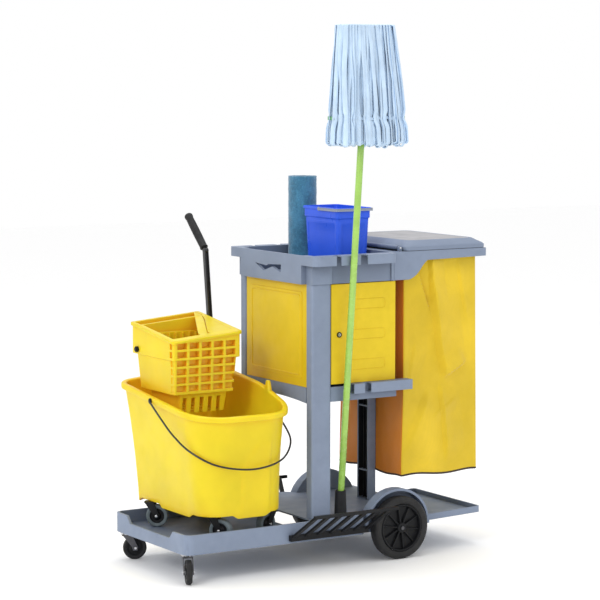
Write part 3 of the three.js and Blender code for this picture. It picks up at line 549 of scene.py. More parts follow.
def rear_wheel(side):
    body = f"rear_wheel_{side}"
    centre, axis = pivot(body)
    low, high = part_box(f"rear_tyre_{side}")
    radius, half = (high.z - low.z) / 2 - 0.0004, (high.y - low.y) / 2
    rim = radius * 0.765
    shape = lathe(tyre_profile(rim, radius, half, 0.0085), centre, axis)
    piece(f"rear_tyre_skin_{side}", shape, "black_tyre", body, [f"rear_tyre_{side}"])
    out = SIDES[side] * axis.y
    web_half, web_start, boss_radius, bore, rounding = 0.0035, 0.0155, 0.0135, 0.0062, 0.0025
    rim_ring = mirrored([(rim - 0.009, -web_half), (rim - 0.0075, -half * 0.72)]
                        + arc((rim - 0.0042, -half * 0.78), 0.003, 180, 360, 6))
    web = mirrored([(web_start, -web_half), (rim - 0.0085, -web_half)])
    boss = mirrored([(bore, -half)] + arc((boss_radius, -half + rounding), rounding, -90, 0, 4))
    parts = [lathe(profile, centre, axis) for profile in (rim_ring, web, boss)]
    spokes, first_angle = 10, 0.16
    for i in range(spokes):
        parts.append(spoke(centre, TAU * i / spokes + first_angle, boss_radius, rim - 0.007, out, half))
    piece(f"rear_hub_skin_{side}", merged(parts), "black_plastic", body, [f"rear_hub_{side}"])


def spoke(centre, angle, start, end, out, half):
    """Thin radial rib, tallest at the hub and tapering to the rim."""
    along = Vector((math.cos(angle), 0, -math.sin(angle)))
    across = Vector((math.sin(angle), 0, math.cos(angle)))
    outward = Vector((0, out, 0))
    rings = []
    for k in range(7):
        t = k / 6
        width = mix(0.0021, 0.0015, t)
        height = mix(half - 0.004, half - 0.0075, math.sin(t * math.pi / 2))
        spine = Vector(centre) + along * mix(start, end, t)
        rings.append([spine + across * a * width + outward * b for a, b in
                      ((-1, 0.003), (1, 0.003), (1, height - 0.001), (0.6, height), (-0.6, height),
                       (-1, height - 0.001))])
    return skin(rings, caps=(True, True))


def caster_roller(body, node, slot, tread, bore):
    """Caster wheel: a rounded tread on a dished black hub with a boss round the axle."""
    centre, axis = pivot(body)
    low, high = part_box(node)
    radius = (high.z - low.z) / 2 - 0.0004
    half = tread / 2
    core = radius - 0.0115
    shape = lathe(tyre_profile(core, radius, half, 0.0035), centre, axis, 72)
    piece(f"{node}_tread", shape, slot, body, [node])
    hub = mirrored([(bore, -half - 0.001), (bore + 0.005, -half - 0.001), (bore + 0.0065, -half + 0.001),
                    (core * 0.62, -half + 0.004), (core - 0.004, -half + 0.0035),
                    (core - 0.002, -half + 0.0012), (core, -half + 0.0012)])
    piece(f"{node}_core", lathe(hub, centre, axis, 72), "black_plastic", body)


def wheels():
    for side in SIDES:
        rear_wheel(side)
        caster_roller(f"caster_roller_{side}", f"caster_wheel_{side}", "black_tyre", 0.0178, 0.0042)
    for name in "abcd":
        caster_roller(f"bucket_roller_{name}", f"bucket_wheel_{name}", "grey_tyre", 0.024, 0.0045)
        bucket_bolt(name)


def bucket_bolt(name):
    """Plated nut heads on both ends of a bucket caster's axle."""
    centre, axis = pivot(f"bucket_roller_{name}")
    body = f"bucket_swivel_{name}"
    parts = []
    for end in (-1, 1):
        profile = [(0.0001, 0), (0.0046, 0)] + arc((0.0034, 0.0016), 0.0012, 0, 90, 3) + [(0.0001, 0.0031)]
        parts.append(lathe(profile, centre + axis * end * 0.0203, axis * end, 24))
    piece(f"bucket_bolt_{name}", merged(parts), "steel", body)


# ---------------------------------------------------------------- cabinet details
DOOR = {"slot_low_x": 592, "slot_high_x": 727, "slot_height": 31, "slots": (625, 719.5, 814)}


def ridge(name, outline, slot, body, radius):
    """Raised moulded line: a bead half sunk in the surface."""
    piece(name, swept(outline, radius, sides=10, closed=True), slot, body, smooth=80)


def doors():
    for side, sign in SIDES.items():
        low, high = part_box(f"cabinet_door_{side}")
        face = low.y if sign < 0 else high.y
        for k, height in enumerate(DOOR["slots"]):
            half = DOOR["slot_height"] / 2
            plan = rounded_rect(DOOR["slot_low_x"], DOOR["slot_high_x"], height - half, height + half, 9, 5)
            line = [Vector((at(x, 0, 0).x, face - sign * 0.0006, z * MM)) for x, z in plan]
            ridge(f"door_bead_{side}_{k + 1}", line, "yellow_panel", f"door_{side}", 0.0013)
        lock_face(side, sign)


def lock_face(side, sign):
    """Round black escutcheon ring, with a rounded edge, about the lock's core."""
    low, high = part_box(f"lock_ring_{side}")
    centre = (low + high) / 2
    face = low.y if sign < 0 else high.y
    out = Vector((0, sign, 0))
    profile = ([(0.0057, -0.0026), (0.0088, -0.0026), (0.0088, -0.0012)]
               + arc((0.0072, -0.0016), 0.0016, 0, 90, 5) + [(0.0062, -0.0002), (0.0057, -0.0008)])
    shape = lathe(profile, Vector((centre.x, face, centre.z)), out, 48)
    piece(f"lock_bezel_{side}", shape, "black_plastic", f"door_{side}", [f"lock_ring_{side}"])


def front_panel():
    """Second raised frame line inside the front panel's field."""
    low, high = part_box("cabinet_front_panel")
    inset = 0.036
    plan = rounded_rect(low.y + inset, high.y - inset, low.z + inset, high.z - inset, 0.01, 5)
    line = [Vector((low.x + 0.0003, y, z)) for y, z in plan]
    ridge("front_panel_bead", line, "yellow_panel", "cart_frame", 0.0022)


def corner_webs():
    """Webs that close the wall of the platform's front corners, beside the caster bosses."""
    radius, half_width, under, top = 0.026, 0.235, PLATFORM_LOW.z, 0.1055
    # Degrees from the corner's diagonal, and millimetres beyond the corner's radius.
    outer = ((-13, -1.1), (-9, 0.05), (0, 0.12), (9, 0.05), (13, -1.1))
    inner = ((9, -2.6), (0, -3.2), (-9, -2.6))
    for side, sign in SIDES.items():
        centre = ORIGIN + Vector((radius, sign * (half_width - radius), 0))
        rings = []
        for height in (under, top):
            ring = []
            for degrees, beyond in (outer + inner)[::-sign]:
                angle = math.radians(45 + degrees)
                reach = radius + beyond * MM
                place = Vector((-reach * math.cos(angle), sign * reach * math.sin(angle), height))
                ring.append(centre + place)
            rings.append(ring)
        piece(f"corner_web_{side}", skin(rings, caps=(True, True)), "grey_plastic", "cart_frame")


def column_liner():
    """Black ribbed insert in the open side of the rear column."""
    low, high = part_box("rear_column")
    wall = 0.0046
    x0, x1 = low.x + 0.0025, high.x - wall
    cheek, rib_half, end_gap = 0.0012, 0.0008, 0.004
    plates = [(x1 - 0.0015, x1, low.y + wall, high.y - wall),
              (x0, x1, low.y + wall, low.y + wall + cheek), (x0, x1, high.y - wall - cheek, high.y - wall)]
    for share in (0.37, 0.63):
        middle = low.y + (high.y - low.y) * share
        plates.append((x0 + 0.006, x1, middle - rib_half, middle + rib_half))
    parts = [slab(*plate, low.z + end_gap, high.z - end_gap) for plate in plates]
    piece("column_liner", merged(parts), "black_plastic", "cart_frame", smooth=0)


def slab(x0, x1, y0, y1, z0, z1):
    ring = [(x0, y0), (x1, y0), (x1, y1), (x0, y1)]
    return skin([[Vector((x, y, z)) for x, y in ring] for z in (z0, z1)], caps=(True, True))


# ---------------------------------------------------------------- lid
def lid():
    """Bevelled lid with a raised centre and a recessed line round its inset panel."""
    low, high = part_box("bag_lid")
    x0, x1, y0, y1 = at(800, 0, 0).x, high.x, low.y, high.y
    bottom, rim, crown = 972.3 * MM, 984 * MM, high.z

    def level(inset, z, radius):
        plan = rounded_rect(x0 + inset, x1 - inset, y0 + inset, y1 - inset, radius, 10)
        return [Vector((x, y, z)) for x, y in evenly(plan, 160)]

    rings = [
        level(0.036, crown - 0.0072, 0.022), level(0.030, crown - 0.0062, 0.024),
        level(0.006, rim - 0.004, 0.016), level(0.004, bottom, 0.016), level(0.0008, bottom, 0.018),
        level(0, bottom + 0.0012, 0.018), level(0, rim - 0.0015, 0.018), level(0.0006, rim, 0.018),
        level(0.0055, rim + 0.0048, 0.018), level(0.016, rim + 0.0112, 0.022),
        level(0.025, crown - 0.0012, 0.026), level(0.028, crown - 0.0002, 0.026),
        level(0.0315, crown, 0.025), level(0.0335, crown - 0.0004, 0.024),
        level(0.0343, crown - 0.0016, 0.023),
    ]
    shell = skin(rings, caps=(True, False))
    inner = level(0.0375, crown - 0.0018, 0.02)
    bore, radius, half = 0.0034, 0.007, 0.194
    barrel = lathe(mirrored([(bore, -half), (radius, -half)]), at(790, 0, 982), (0, 1, 0), 32)
    web = slab(at(793, 0, 0).x, at(806, 0, 0).x, ORIGIN.y - half, ORIGIN.y + half, 0.979, 0.985)
    shape = merged([shell, skin([rings[-1], inner]), barrel, web])
    piece("lid_shell", shape, "grey_plastic", "lid", ["bag_lid"], smooth=32)
    panel = [level(0.0345, crown - 0.0045, 0.022), level(0.0352, crown - 0.0012, 0.022),
             level(0.0362, crown - 0.0004, 0.0215), level(0.06, crown - 0.0001, 0.02)]
    shown = piece("lid_panel", skin(panel, caps=(True, True)), "grey_plastic", "lid", smooth=32)
    shown.data.materials[0] = moulded("lid_panel", (0.29, 0.285, 0.30), 0.42).material


# ---------------------------------------------------------------- waste bag
BAG = {"around": 320, "down": 140, "creases": 16, "corner": 0.005, "rear_flare": 0.010,
       "front_flare": 0.006, "belly": 0.006, "ripple": 0.006, "hem_wave": 0.005, "thickness": 0.0012}


def bag_folds(around, down):
    """Creases as (start, end, width, height) on the unrolled sheet: (along the edge, down), in metres."""
    near = around - 0.278
    chosen = [
        ((0.100, 0.00), (0.118, 0.16), 0.055, 0.016),
        ((0.118, 0.14), (0.160, 0.40), 0.095, 0.021),
        ((0.052, 0.02), (0.104, 0.18), 0.030, -0.013),
        ((0.160, 0.40), (0.238, 0.36), 0.060, 0.015),
        ((0.100, 0.46), (0.006, 0.66), 0.120, 0.015),
        ((0.150, 0.44), (0.172, 0.66), 0.070, 0.011),
        ((0.215, 0.04), (0.250, 0.22), 0.050, 0.007),
        ((0.050, 0.30), (0.018, 0.45), 0.050, 0.006),
        ((0.200, 0.48), (0.120, 0.53), 0.032, 0.005),
    ]
    folds = [((near + a, b), (near + c, d), width, height) for (a, b), (c, d), width, height in chosen]
    folds.append(((near - 0.170, 0.05), (near - 0.205, 0.45), 0.060, 0.005))
    draw = random.Random(11)
    for _ in range(BAG["creases"]):
        start = Vector((draw.uniform(0, near - 0.30), draw.uniform(0, down * 0.75)))
        angle, long = draw.uniform(-0.45, 0.45), draw.uniform(0.12, 0.40)
        end = start + long * Vector((math.sin(angle), math.cos(angle)))
        width = draw.uniform(0.04, 0.09)
        folds.append((start, end, width, draw.choice((-1, 1)) * draw.uniform(0.007, 0.012)))
    return [(Vector(start), Vector(end), width, height) for start, end, width, height in folds]


def fold_depth(folds, place):
    """Height of the creases at a place on the sheet: sharp on one side, a flat slope on the other."""
    depth = 0.0
    for start, end, width, height in folds:
        run = end - start
        share = (place - start).dot(run) / run.length_squared
        if not -0.15 < share < 1.15:
            continue
        across = (place - start).dot(Vector((run.y, -run.x)).normalized())
        fade = smoothstep(share, -0.15, 0.2) * (1 - smoothstep(share, 0.8, 1.15))
        slope = 1 - across / width if across > 0 else 1 + across / (width * 0.15)
        depth += height * fade * max(0, slope)
    return depth


def waste_bag():
    """Open-topped bag hanging from the frame: sharp upright corners, crisp creases, a wavy bottom edge."""
    low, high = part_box("waste_bag")
    wide, deep = high.x - low.x, high.y - low.y
    around, down = 2 * (wide + deep), high.z - low.z
    folds = bag_folds(around, down)
    plan = rounded_rect(low.x, high.x, low.y, high.y, BAG["corner"], 3)
    outline = evenly(plan, BAG["around"])
    centre = Vector(((low.x + high.x) / 2, (low.y + high.y) / 2, 0))
    rings = []
    for j in range(BAG["down"] + 1):
        t = j / BAG["down"]
        held = smoothstep(t, 0, 0.05)
        ring = []
        for i, (x, y) in enumerate(outline):
            s = i / BAG["around"]
            side = Vector((x, y, 0)) - centre
            flat_x, flat_y = abs(side.x) / (wide / 2), abs(side.y) / (deep / 2)
            outward = Vector((side.x, 0, 0) if flat_x >= flat_y else (0, side.y, 0)).normalized()
            middle = 1 - min(flat_x, flat_y) ** 4
            belly = -BAG["belly"] * middle * math.sin(math.pi * min(t * 1.15, 1))
            soft = BAG["ripple"] * noise.noise(Vector((x * 7, y * 7, t * 5))) * middle
            depth = fold_depth(folds, Vector((s * around, t * down))) * middle
            foot = BAG["hem_wave"] * math.sin(s * TAU * 5 + 1.1) * smoothstep(t, 0.82, 1) * middle
            if x > centre.x:
                flare = BAG["rear_flare"] * t * side.x / (wide / 2)
            else:
                flare = BAG["front_flare"] * smoothstep(t, 0.6, 1) * flat_y * side.x / (wide / 2)
            place = Vector((x + flare, y, high.z - t * down + foot))
            ring.append(place + outward * (belly + soft + depth) * held)
        rings.append(ring)
    hem = rings[-1]
    middle = sum(hem, Vector()) / len(hem)
    for share in (0.94, 0.8, 0.55, 0.25, 0.04):
        lift = up(0.006 * (1 - share))
        rings.append([middle + (p - middle) * share + lift for p in hem])
    shape = skin(rings, caps=(False, True))
    bag = piece("bag_cloth", shape, "bag_fabric", "cart_frame", ["waste_bag"], smooth=24)
    thicken(bag, BAG["thickness"])
    bag_piping(hem)


def bag_piping(hem):
    """Dark bound edge sewn round the bottom."""
    shape = swept(hem[::2], 0.0034, sides=8, closed=True)
    binding = piece("bag_piping", shape, "bag_fabric", "cart_frame", smooth=80)
    binding.data.materials[0] = nylon("bag_piping", (0.035, 0.018, 0.010), 0.7).material
    return binding


# ---------------------------------------------------------------- mop
MOP = {"strips": 44, "layers": 4, "width": 0.0135, "thickness": 0.0038, "band": 1.394, "bunch": 3,
       "top_x": 570, "top": (0.0955, 0.026), "reach": (0.030, 0.026)}


def pole_line():
    """Foot of the pole's centre line, and its direction."""
    axis = Vector(JOINTS["mop"]["axis"]).normalized()
    low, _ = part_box("mop_pole")
    foot = at(564.4, -206, 157.5)
    return Vector((foot.x, foot.y, low.z)), axis


def pole_at(z):
    foot, axis = pole_line()
    return foot + axis * ((z - foot.z) / axis.z)


def mop_pole():
    foot, axis = pole_line()
    low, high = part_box("mop_pole")
    radius = 0.0105
    long = (high.z - low.z) / axis.z
    profile = ([(0.0001, 0), (radius - 0.002, 0), (radius, 0.002), (radius, 0.9), (radius, long - 0.002),
                (radius - 0.002, long), (0.0001, long)])
    piece("pole_tube", lathe(profile, foot, axis, 48), "green_pole", "mop", ["mop_pole"], smooth=50)


def strip(anchor, outward, across, spread, length_end, bunch, draw):
    """One looped strip: over the clamp's edge, down, round at its end and back up behind itself."""
    points = []
    sway, lift = draw.uniform(-0.009, 0.009), draw.uniform(-0.005, 0.005)
    phase = draw.uniform(0, TAU)
    steps = 26
    for k in range(steps + 1):
        t = k / steps
        z = mix(anchor.z, length_end, t)
        gather = math.exp(-((z - MOP["band"]) / 0.014) ** 2)
        loose = min(t * 3, 1)
        below = smoothstep(z, MOP["band"], length_end)
        flare = spread * t + lift * loose * (1 - gather) - 0.0025 * gather
        flare += 0.002 * math.sin(math.pi * below)
        swing = sway * t * (1 - 0.5 * gather) + 0.003 * math.sin(phase + 6 * t) * loose
        pulled = bunch * smoothstep(t, 0.2, 0.6) * (1 - 0.4 * gather)
        points.append(anchor + outward * flare + across * swing + pulled + up(z - anchor.z))
    end = points[-1]
    loop = draw.uniform(0.006, 0.010)
    for angle in (30, 60, 90, 120, 150, 178):
        a = math.radians(angle)
        points.append(end - outward * loop * (1 - math.cos(a)) - up(loop * math.sin(a)))
    back = points[-1]
    points += [back + up(0.02 * k) - outward * 0.0012 * k for k in (1, 2, 3, 4)]
    return points


def ribbon(points, across, outward, width, thickness, twist):
    """Flat cupped strip along points, facing outward."""
    rings = []
    count = len(points)
    section = [(-1, 0), (-0.7, 0.75), (0, 1), (0.7, 0.75), (1, 0), (0.6, -0.9), (0, -0.7), (-0.6, -0.9)]
    for i, point in enumerate(points):
        ahead = (points[min(i + 1, count - 1)] - points[max(i - 1, 0)]).normalized()
        side = (across - ahead * across.dot(ahead)).normalized()
        face = side.cross(ahead)
        if i == 0 and face.dot(outward) < 0:
            across = -across
            side, face = -side, -face
        turn = twist * math.sin(math.pi * i / count)
        side, face = (side * math.cos(turn) + face * math.sin(turn),
                      face * math.cos(turn) - side * math.sin(turn))
        narrow = 1 - 0.28 * math.exp(-((point.z - MOP["band"]) / 0.012) ** 2)
        rings.append([point + side * a * width / 2 * narrow + face * b * thickness / 2 for a, b in section])
    return skin(rings, caps=(True, True))


def mop_centre(z, low, high):
    """Middle of the mop head at a height: over the pole's end at the top, central over the skirt below."""
    share = min((high.z - z) / (high.z - low.z), 1)
    x = mix(at(MOP["top_x"], 0, 0).x, (low.x + high.x) / 2, share)
    return Vector((x, pole_at(z).y, z))


def mop_strips():
    """Layers of looped strips that hang from the clamp in a boxy skirt, sewn together near their ends."""
    low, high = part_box("mop_head")
    draw = random.Random(5)
    parts = []
    for layer in range(MOP["layers"]):
        inward = 0.0058 * layer
        half_x, half_y = MOP["top"][0] - inward, MOP["top"][1] - inward * 0.7
        outline = evenly(rounded_rect(-half_x, half_x, -half_y, half_y, half_y * 0.5, 6),
                         MOP["strips"] - 2 * layer)
        for i, (x, y) in enumerate(outline):
            outward = Vector((x / half_x * 0.75, y / half_y * 0.9, 0)).normalized()
            middle = outline[min(i // MOP["bunch"] * MOP["bunch"] + MOP["bunch"] // 2, len(outline) - 1)]
            bunch = Vector((middle[0] - x, middle[1] - y, 0)) * draw.uniform(0.2, 0.8)
            across = Vector((-outward.y, outward.x, 0))
            reach = (MOP["reach"][0] * abs(x / half_x) ** 1.3, MOP["reach"][1] * abs(y / half_y))
            end = low.z + 0.012 + draw.uniform(0, 0.016) + 0.004 * layer
            anchor = Vector((x + draw.uniform(-0.003, 0.003), y, high.z - 0.0045 - 0.0025 * layer))
            line = strip(anchor, outward, across, math.hypot(*reach) - 0.2 * inward, end, bunch, draw)
            over = [Vector((x * 0.55, y * 0.2, anchor.z - 0.001)),
                    Vector((x * 0.93, y * 0.85, anchor.z + 0.0018))]
            line = [mop_centre(p.z, low, high) + Vector((p.x, p.y, 0)) for p in over + line]
            width = MOP["width"] * draw.uniform(0.85, 1.15)
            parts.append(ribbon(line, across, outward, width, MOP["thickness"], draw.uniform(-0.9, 0.9)))
    cloth = piece("mop_strips", merged(parts), "mop_cloth", "mop", ["mop_head"], smooth=70)
    mop_band(low, high)


def mop_band(low, high):
    """Sewn tape that holds the strips together, with a green tie at each end."""
    centre = mop_centre(MOP["band"], low, high)
    share = (high.z - centre.z) / (high.z - low.z)
    half_x, half_y = (top + 0.85 * reach * share for top, reach in zip(MOP["top"], MOP["reach"]))
    plan = evenly(rounded_rect(-half_x, half_x, -half_y, half_y, half_y * 0.9, 8), 120)
    wave = [centre + Vector((x, y, 0.002 * math.sin(k * 0.9))) for k, (x, y) in enumerate(plan)]
    rings = [[p + up(h) for p in wave] for h in (-0.0045, -0.0035, 0.0035, 0.0045)]
    band = piece("mop_band", skin(rings), "mop_cloth", "mop", smooth=80)
    thicken(band, 0.0015)
    for end, sign in (("front", -1), ("rear", 1)):
        place = centre + Vector((sign * (half_x - 0.001), -0.4 * half_y * sign, 0))
        plan = rounded_rect(-0.0065, 0.0065, -half_y * 0.42, half_y * 0.42, 0.006, 5)
        rings = [[place + Vector((x, y, h)) for x, y in plan] for h in (-0.0055, 0.0055)]
        tie = piece(f"mop_tie_{end}", skin(rings), "mop_cloth", "mop", smooth=60)
        tie.data.materials[0] = GREEN_TIE
        thicken(tie, 0.0014)
    return band


# ---------------------------------------------------------------- mop bucket
BUCKET_LOW = (78, 368, -214, 238)
BUCKET_HIGH = (46, 388, -238, 268)


def rim_height(x, y):
    """Height of the bucket's rim, in the same millimetres as the plan."""
    back = smoothstep(y, -230, 20)
    return 527.5 + 0.115 * y + 0.095 * (x - 40) * back


def bucket_plan(t, inset):
    """Sides and outline of the bucket between the foot (t = 0) and the rim (t = 1)."""
    sides = [mix(a, b, t) for a, b in zip(BUCKET_LOW, BUCKET_HIGH)]
    radii = (mix(72, 108, t) - inset, mix(30, 36, t) - inset)
    x0, x1, y0, y1 = sides
    outline = rounded_rect(x0 + inset, x1 - inset, y0 + inset, y1 - inset, radii, 14)
    return sides, evenly(outline, 260)


def bucket_level(t, inset, drop=None, height=None):
    """Plan outline between the foot (t = 0) and the rim (t = 1), below the rim or at a height."""
    _, plan = bucket_plan(t, inset)
    return [at(x, y, rim_height(x, y) - drop if drop is not None else height) for x, y in plan]


def bucket_wall(t, inset, bottom, bow=0.0, panel=0.0):
    """Level on the tapering wall: t runs from the foot to just under the rim."""
    sides, plan = bucket_plan(t, inset)
    middle_x, middle_y = (sides[0] + sides[1]) / 2, (sides[2] + sides[3]) / 2
    push = bow * math.sin(math.pi * t)
    points = []
    for x, y in plan:
        z = mix(bottom, rim_height(x, y) - 17, t)
        proud = panel * end_panel(x, t) if y < middle_y - 100 else 0
        points.append(at(x + push * (x - middle_x) / 160, y + push * (y - middle_y) / 240 - proud, z))
    return points


def end_panel(x, t):
    """1 on the raised panel of the near end, whose top edge slopes on its left."""
    top = 0.72 - 0.24 * (1 - smoothstep(x, 205, 262))
    return smoothstep(x, 200, 207) * (1 - smoothstep(x, 300, 307)) * (1 - smoothstep(t, top, top + 0.03))


def foot_drop(points, amount):
    """Lowers the bottom edge between the corners, outside the casters' turning circles."""
    centres = [pivot(f"bucket_swivel_{name}")[0] for name in "abcd"]
    lowered = []
    for p in points:
        away = min(math.hypot(p.x - c.x, p.y - c.y) for c in centres)
        lowered.append(p - up(amount * smoothstep(away, 0.060, 0.078)))
    return lowered


def bucket():
    foot = 190
    skirt = 0.011
    rings = [bucket_level(0, 16, height=foot + 4), bucket_level(0, 14, height=foot + 1)]
    rings += [foot_drop(bucket_level(0, inset, height=foot + h), drop) for inset, h, drop in
              ((8, 0.5, skirt), (4, 0, skirt), (1.5, 1, skirt), (0.5, 4, skirt))]
    rings += [foot_drop(bucket_wall(0.02, 0, foot + 10), 0.006)]
    steps = (0.06, 0.13, 0.22, 0.34, 0.46, 0.50, 0.54, 0.58, 0.62, 0.66, 0.70, 0.73, 0.76, 0.82, 0.88, 0.96)
    rings += [bucket_wall(t, 0, foot + 10, bow=-3, panel=4.5) for t in steps]
    rim = [(0, 21), (-1, 18.5), (-4, 17.2), (-10, 17), (-12.2, 16), (-13, 13.5), (-13, 4), (-12.2, 1.6),
           (-10, 0.2), (-6, 0), (0, 0), (2, 0.6), (3.4, 2.2), (4, 5), (4.2, 14)]
    rings += [bucket_level(1, inset, drop=drop) for inset, drop in rim]
    rings += [bucket_wall(t, 4, foot + 10, bow=-3) for t in (0.9, 0.75, 0.5, 0.25, 0.08)]
    rings += [bucket_level(0, inset, height=foot + h)
              for inset, h in ((4.5, 16), (7, 9), (12, 5), (20, 4.2))]
    shape = merged([skin(rings, caps=(True, True)), pour_stop()])
    piece("bucket_shell", shape, "yellow_bucket", "mop_bucket", ["bucket_body"], smooth=38)
    bail(bail_route())


def pour_stop():
    """Tapered upright lug on the rim that steadies the wringer."""
    x, y = BUCKET_HIGH[1] + 4.5, -58
    rings = []
    for z, long, thick in ((534, 15, 8), (549, 13.5, 7), (570, 8.5, 5), (572.5, 7.5, 4.2), (573.8, 5, 2.5)):
        corner = thick * 0.7
        plan = evenly(rounded_rect(x - thick, x + thick, y - long, y + long, corner, 4), 40)
        rings.append([at(px, py, z) for px, py in plan])
    return skin(rings, caps=(True, True))


def bail_route():
    """The wire hangs forward and down from its two ears."""
    tilt = math.radians(32)
    route = [(28, 0), (29, 90), (34, 170), (56, 250), (116, 322), (224, 352), (336, 325), (410, 250),
             (430, 170), (424, 90), (406.5, 0)]
    return [at(x, 48 - along * math.cos(tilt), 522 - along * math.sin(tilt)) for x, along in route]


def bail(route):
    shape = swept(smooth_path(route, 9), 0.003, sides=12)
    piece("bail_wire", shape, "black_wire", "bucket_handle", ["bucket_bail"], smooth=80)
    for name, end, inward in (("front", route[0], 1), ("rear", route[-1], -1)):
        profile = [(0.0033, -0.0035)] + arc((0.0062, -0.0005), 0.003, 270, 450, 6) + [(0.0033, 0.0025)]
        shape = lathe(profile, end + Vector((inward * 0.004, 0, 0)), (1, 0, 0), 28)
        piece(f"bail_ear_{name}", shape, "black_plastic", "bucket_handle")


# ---------------------------------------------------------------- wringer
HOPPER = {"x0": 76, "x1": 314, "y0": -22, "y1": 250}


def wringer_top(x, y):
    """Height of the wringer's sloping top edge."""
    return 711 + 0.132 * (y - HOPPER["y0"]) + 0.085 * (x - HOPPER["x0"])


def wringer_rim():
    """Rounded bead along the wringer's top edge."""
    x0, x1, y0, y1 = HOPPER.values()
    proud = 2.6
    plan = evenly(rounded_rect(x0 - proud, x1 + proud, y0 - proud, y1 + proud, 8, 5), 160)
    line = [at(x, y, wringer_top(x, y) - 3.6) for x, y in plan]
    shape = swept(line, 0.0036, sides=12, closed=True)
    piece("wringer_bead", shape, "yellow_bucket", "wringer", smooth=80)


def gear_cover():
    """Flat cover over the gears on the lever side, in two halves along a narrow slot for the press arm."""
    slot = smooth_path([Vector((x, y, 0)) for x, y in ((306, 214), (286, 158), (254, 92), (219, 19))], 8)
    left = [(p.x - 1.4, p.y) for p in slot]
    right = [(p.x + 1.4, p.y) for p in slot]
    inner = [(212, 3), (186, 3), (190, 26), (298, 246), (304, 246), (304, 214)]
    outer = [(308, 246), (311, 246), (311, 214), (311, -19), (224, -19), (222, 3)]
    halves = [inner + left, right[::-1] + outer]
    parts = []
    for outline in halves:
        rings = [[at(x, y, wringer_top(x, y) + h) for x, y in outline] for h in (-5.2, -1.2, -0.4)]
        parts.append(skin(rings, caps=(True, True)))
    piece("gear_cover", merged(parts), "yellow_bucket", "wringer", smooth=30)


def wringer_ribs():
    """Upright ribs inside the hopper, on the wall that the press plate faces."""
    parts = []
    first, spacing = 12, 24
    for k in range(7):
        parts.append(tapered_rib(89, 90.7, first + k * spacing, 5.5, 566, 700))
    piece("hopper_ribs", merged(parts), "yellow_bucket", "wringer", smooth=30)


def tapered_rib(x0, x1, y, width, low, high):
    levels = [(low, 0.4), (mix(low, high, 0.1), 1), (high, 0.7)]
    rings = []
    for z, share in levels:
        half, face = width / 2, mix(x0, x1, share)
        plan = [(x0 - 2, y - half), (face, y - half * 0.6), (face, y + half * 0.6), (x0 - 2, y + half)]
        rings.append([at(px, py, z) for px, py in plan])
    return skin(rings, caps=(True, True))


def lever_grip():
    """Moulded grip with shallow rings and a rounded end."""
    bend, tip = at(342, 247, 962), at(342, 362, 1070)
    along = (tip - bend).normalized()
    start = bend + along * 0.012
    long = (tip - start).length
    profile = [(0.0001, 0), (0.0122, 0)] + arc((0.0122, 0.002), 0.0014, -90, 90, 4)
    ring_steps = 68
    for k in range(ring_steps):
        share = k / (ring_steps - 1)
        base = mix(0.0117, 0.0124, math.sin(share * math.pi))
        profile.append((base + (0.0006 if k % 2 else 0), mix(0.006, long - 0.016, share)))
    profile += [(0.0132, long - 0.013), (0.0138, long - 0.009)]
    profile += arc((0.0075, long - 0.0062), 0.006, 10, 90, 6) + [(0.0001, long - 0.0002)]
    shape = lathe(profile, start, along, 40)
    piece("grip_sleeve", shape, "black_grip", "lever", ["lever_grip"], smooth=35)


# ---------------------------------------------------------------- small bucket and cloth roll
PAIL = {"x0": 611, "x1": 739, "y0": -116, "y1": 86, "bottom": 893.3, "top": 1107, "wall": 2.5,
        "taper": 11}


def pail_level(inset, z, panel=0.0):
    """One level of the small bucket; panel presses the middles of the four sides in."""
    r = max(12 - max(inset, 0) * 0.3, 3)
    x0, x1, y0, y1 = PAIL["x0"] + inset, PAIL["x1"] - inset, PAIL["y0"] + inset, PAIL["y1"] - inset
    points = []
    for x, y in evenly(rounded_rect(x0, x1, y0, y1, r, 6), 300):
        gap_x, gap_y = min(x - x0, x1 - x), min(y - y0, y1 - y)
        if panel:
            press = panel * smoothstep(max(gap_x, gap_y), 15, 18)
            if gap_x < gap_y:
                x += press if x < (x0 + x1) / 2 else -press
            else:
                y += press if y < (y0 + y1) / 2 else -press
        points.append(at(x, y, z))
    return points


def pail():
    bottom, top, taper, wall = PAIL["bottom"], PAIL["top"], PAIL["taper"], PAIL["wall"]
    shoulder = top - 34

    def side(share, extra=0.0, panel=0.0):
        return pail_level(mix(taper, 3.5, share) + extra, mix(bottom + 4, shoulder, share), panel)

    def pressed(share, depth):
        return depth * smoothstep(share, 0.10, 0.115) * (1 - smoothstep(share, 0.885, 0.9))

    rings = [pail_level(taper + 6, bottom + 1.5), pail_level(taper + 4, bottom),
             pail_level(taper + 1.2, bottom + 1.4), side(0)]
    rings += [side(share, 0, pressed(share, 1.8))
              for share in (0.05, 0.098, 0.118, 0.3, 0.5, 0.7, 0.882, 0.902, 0.95)]
    rings += [pail_level(3.5, shoulder - 1), pail_level(2.8, shoulder), pail_level(0.5, shoulder + 1.2),
              pail_level(0, shoulder + 2.4), pail_level(0, top - 9)]
    rings += [pail_level(i, top - d) for i, d in ((-0.6, 8.3), (-2.4, 8), (-3, 7.2), (-3, 1.2), (-2.2, 0.2),
                                                  (-1, 0), (wall - 0.8, 0), (wall, 1), (wall, 9))]
    rings += [pail_level(wall + 3.5, shoulder)]
    rings += [side(share, wall, pressed(share, 1.4)) for share in (0.9, 0.882, 0.5, 0.118, 0.098)]
    rings += [pail_level(taper + wall, bottom + 6), pail_level(taper + wall + 1.5, bottom + 3.6),
              pail_level(taper + wall + 5, bottom + 3)]
    shape = skin(rings, caps=(True, True))
    piece("pail_shell", shape, "blue_plastic", "pail", ["blue_bucket"], smooth=38)


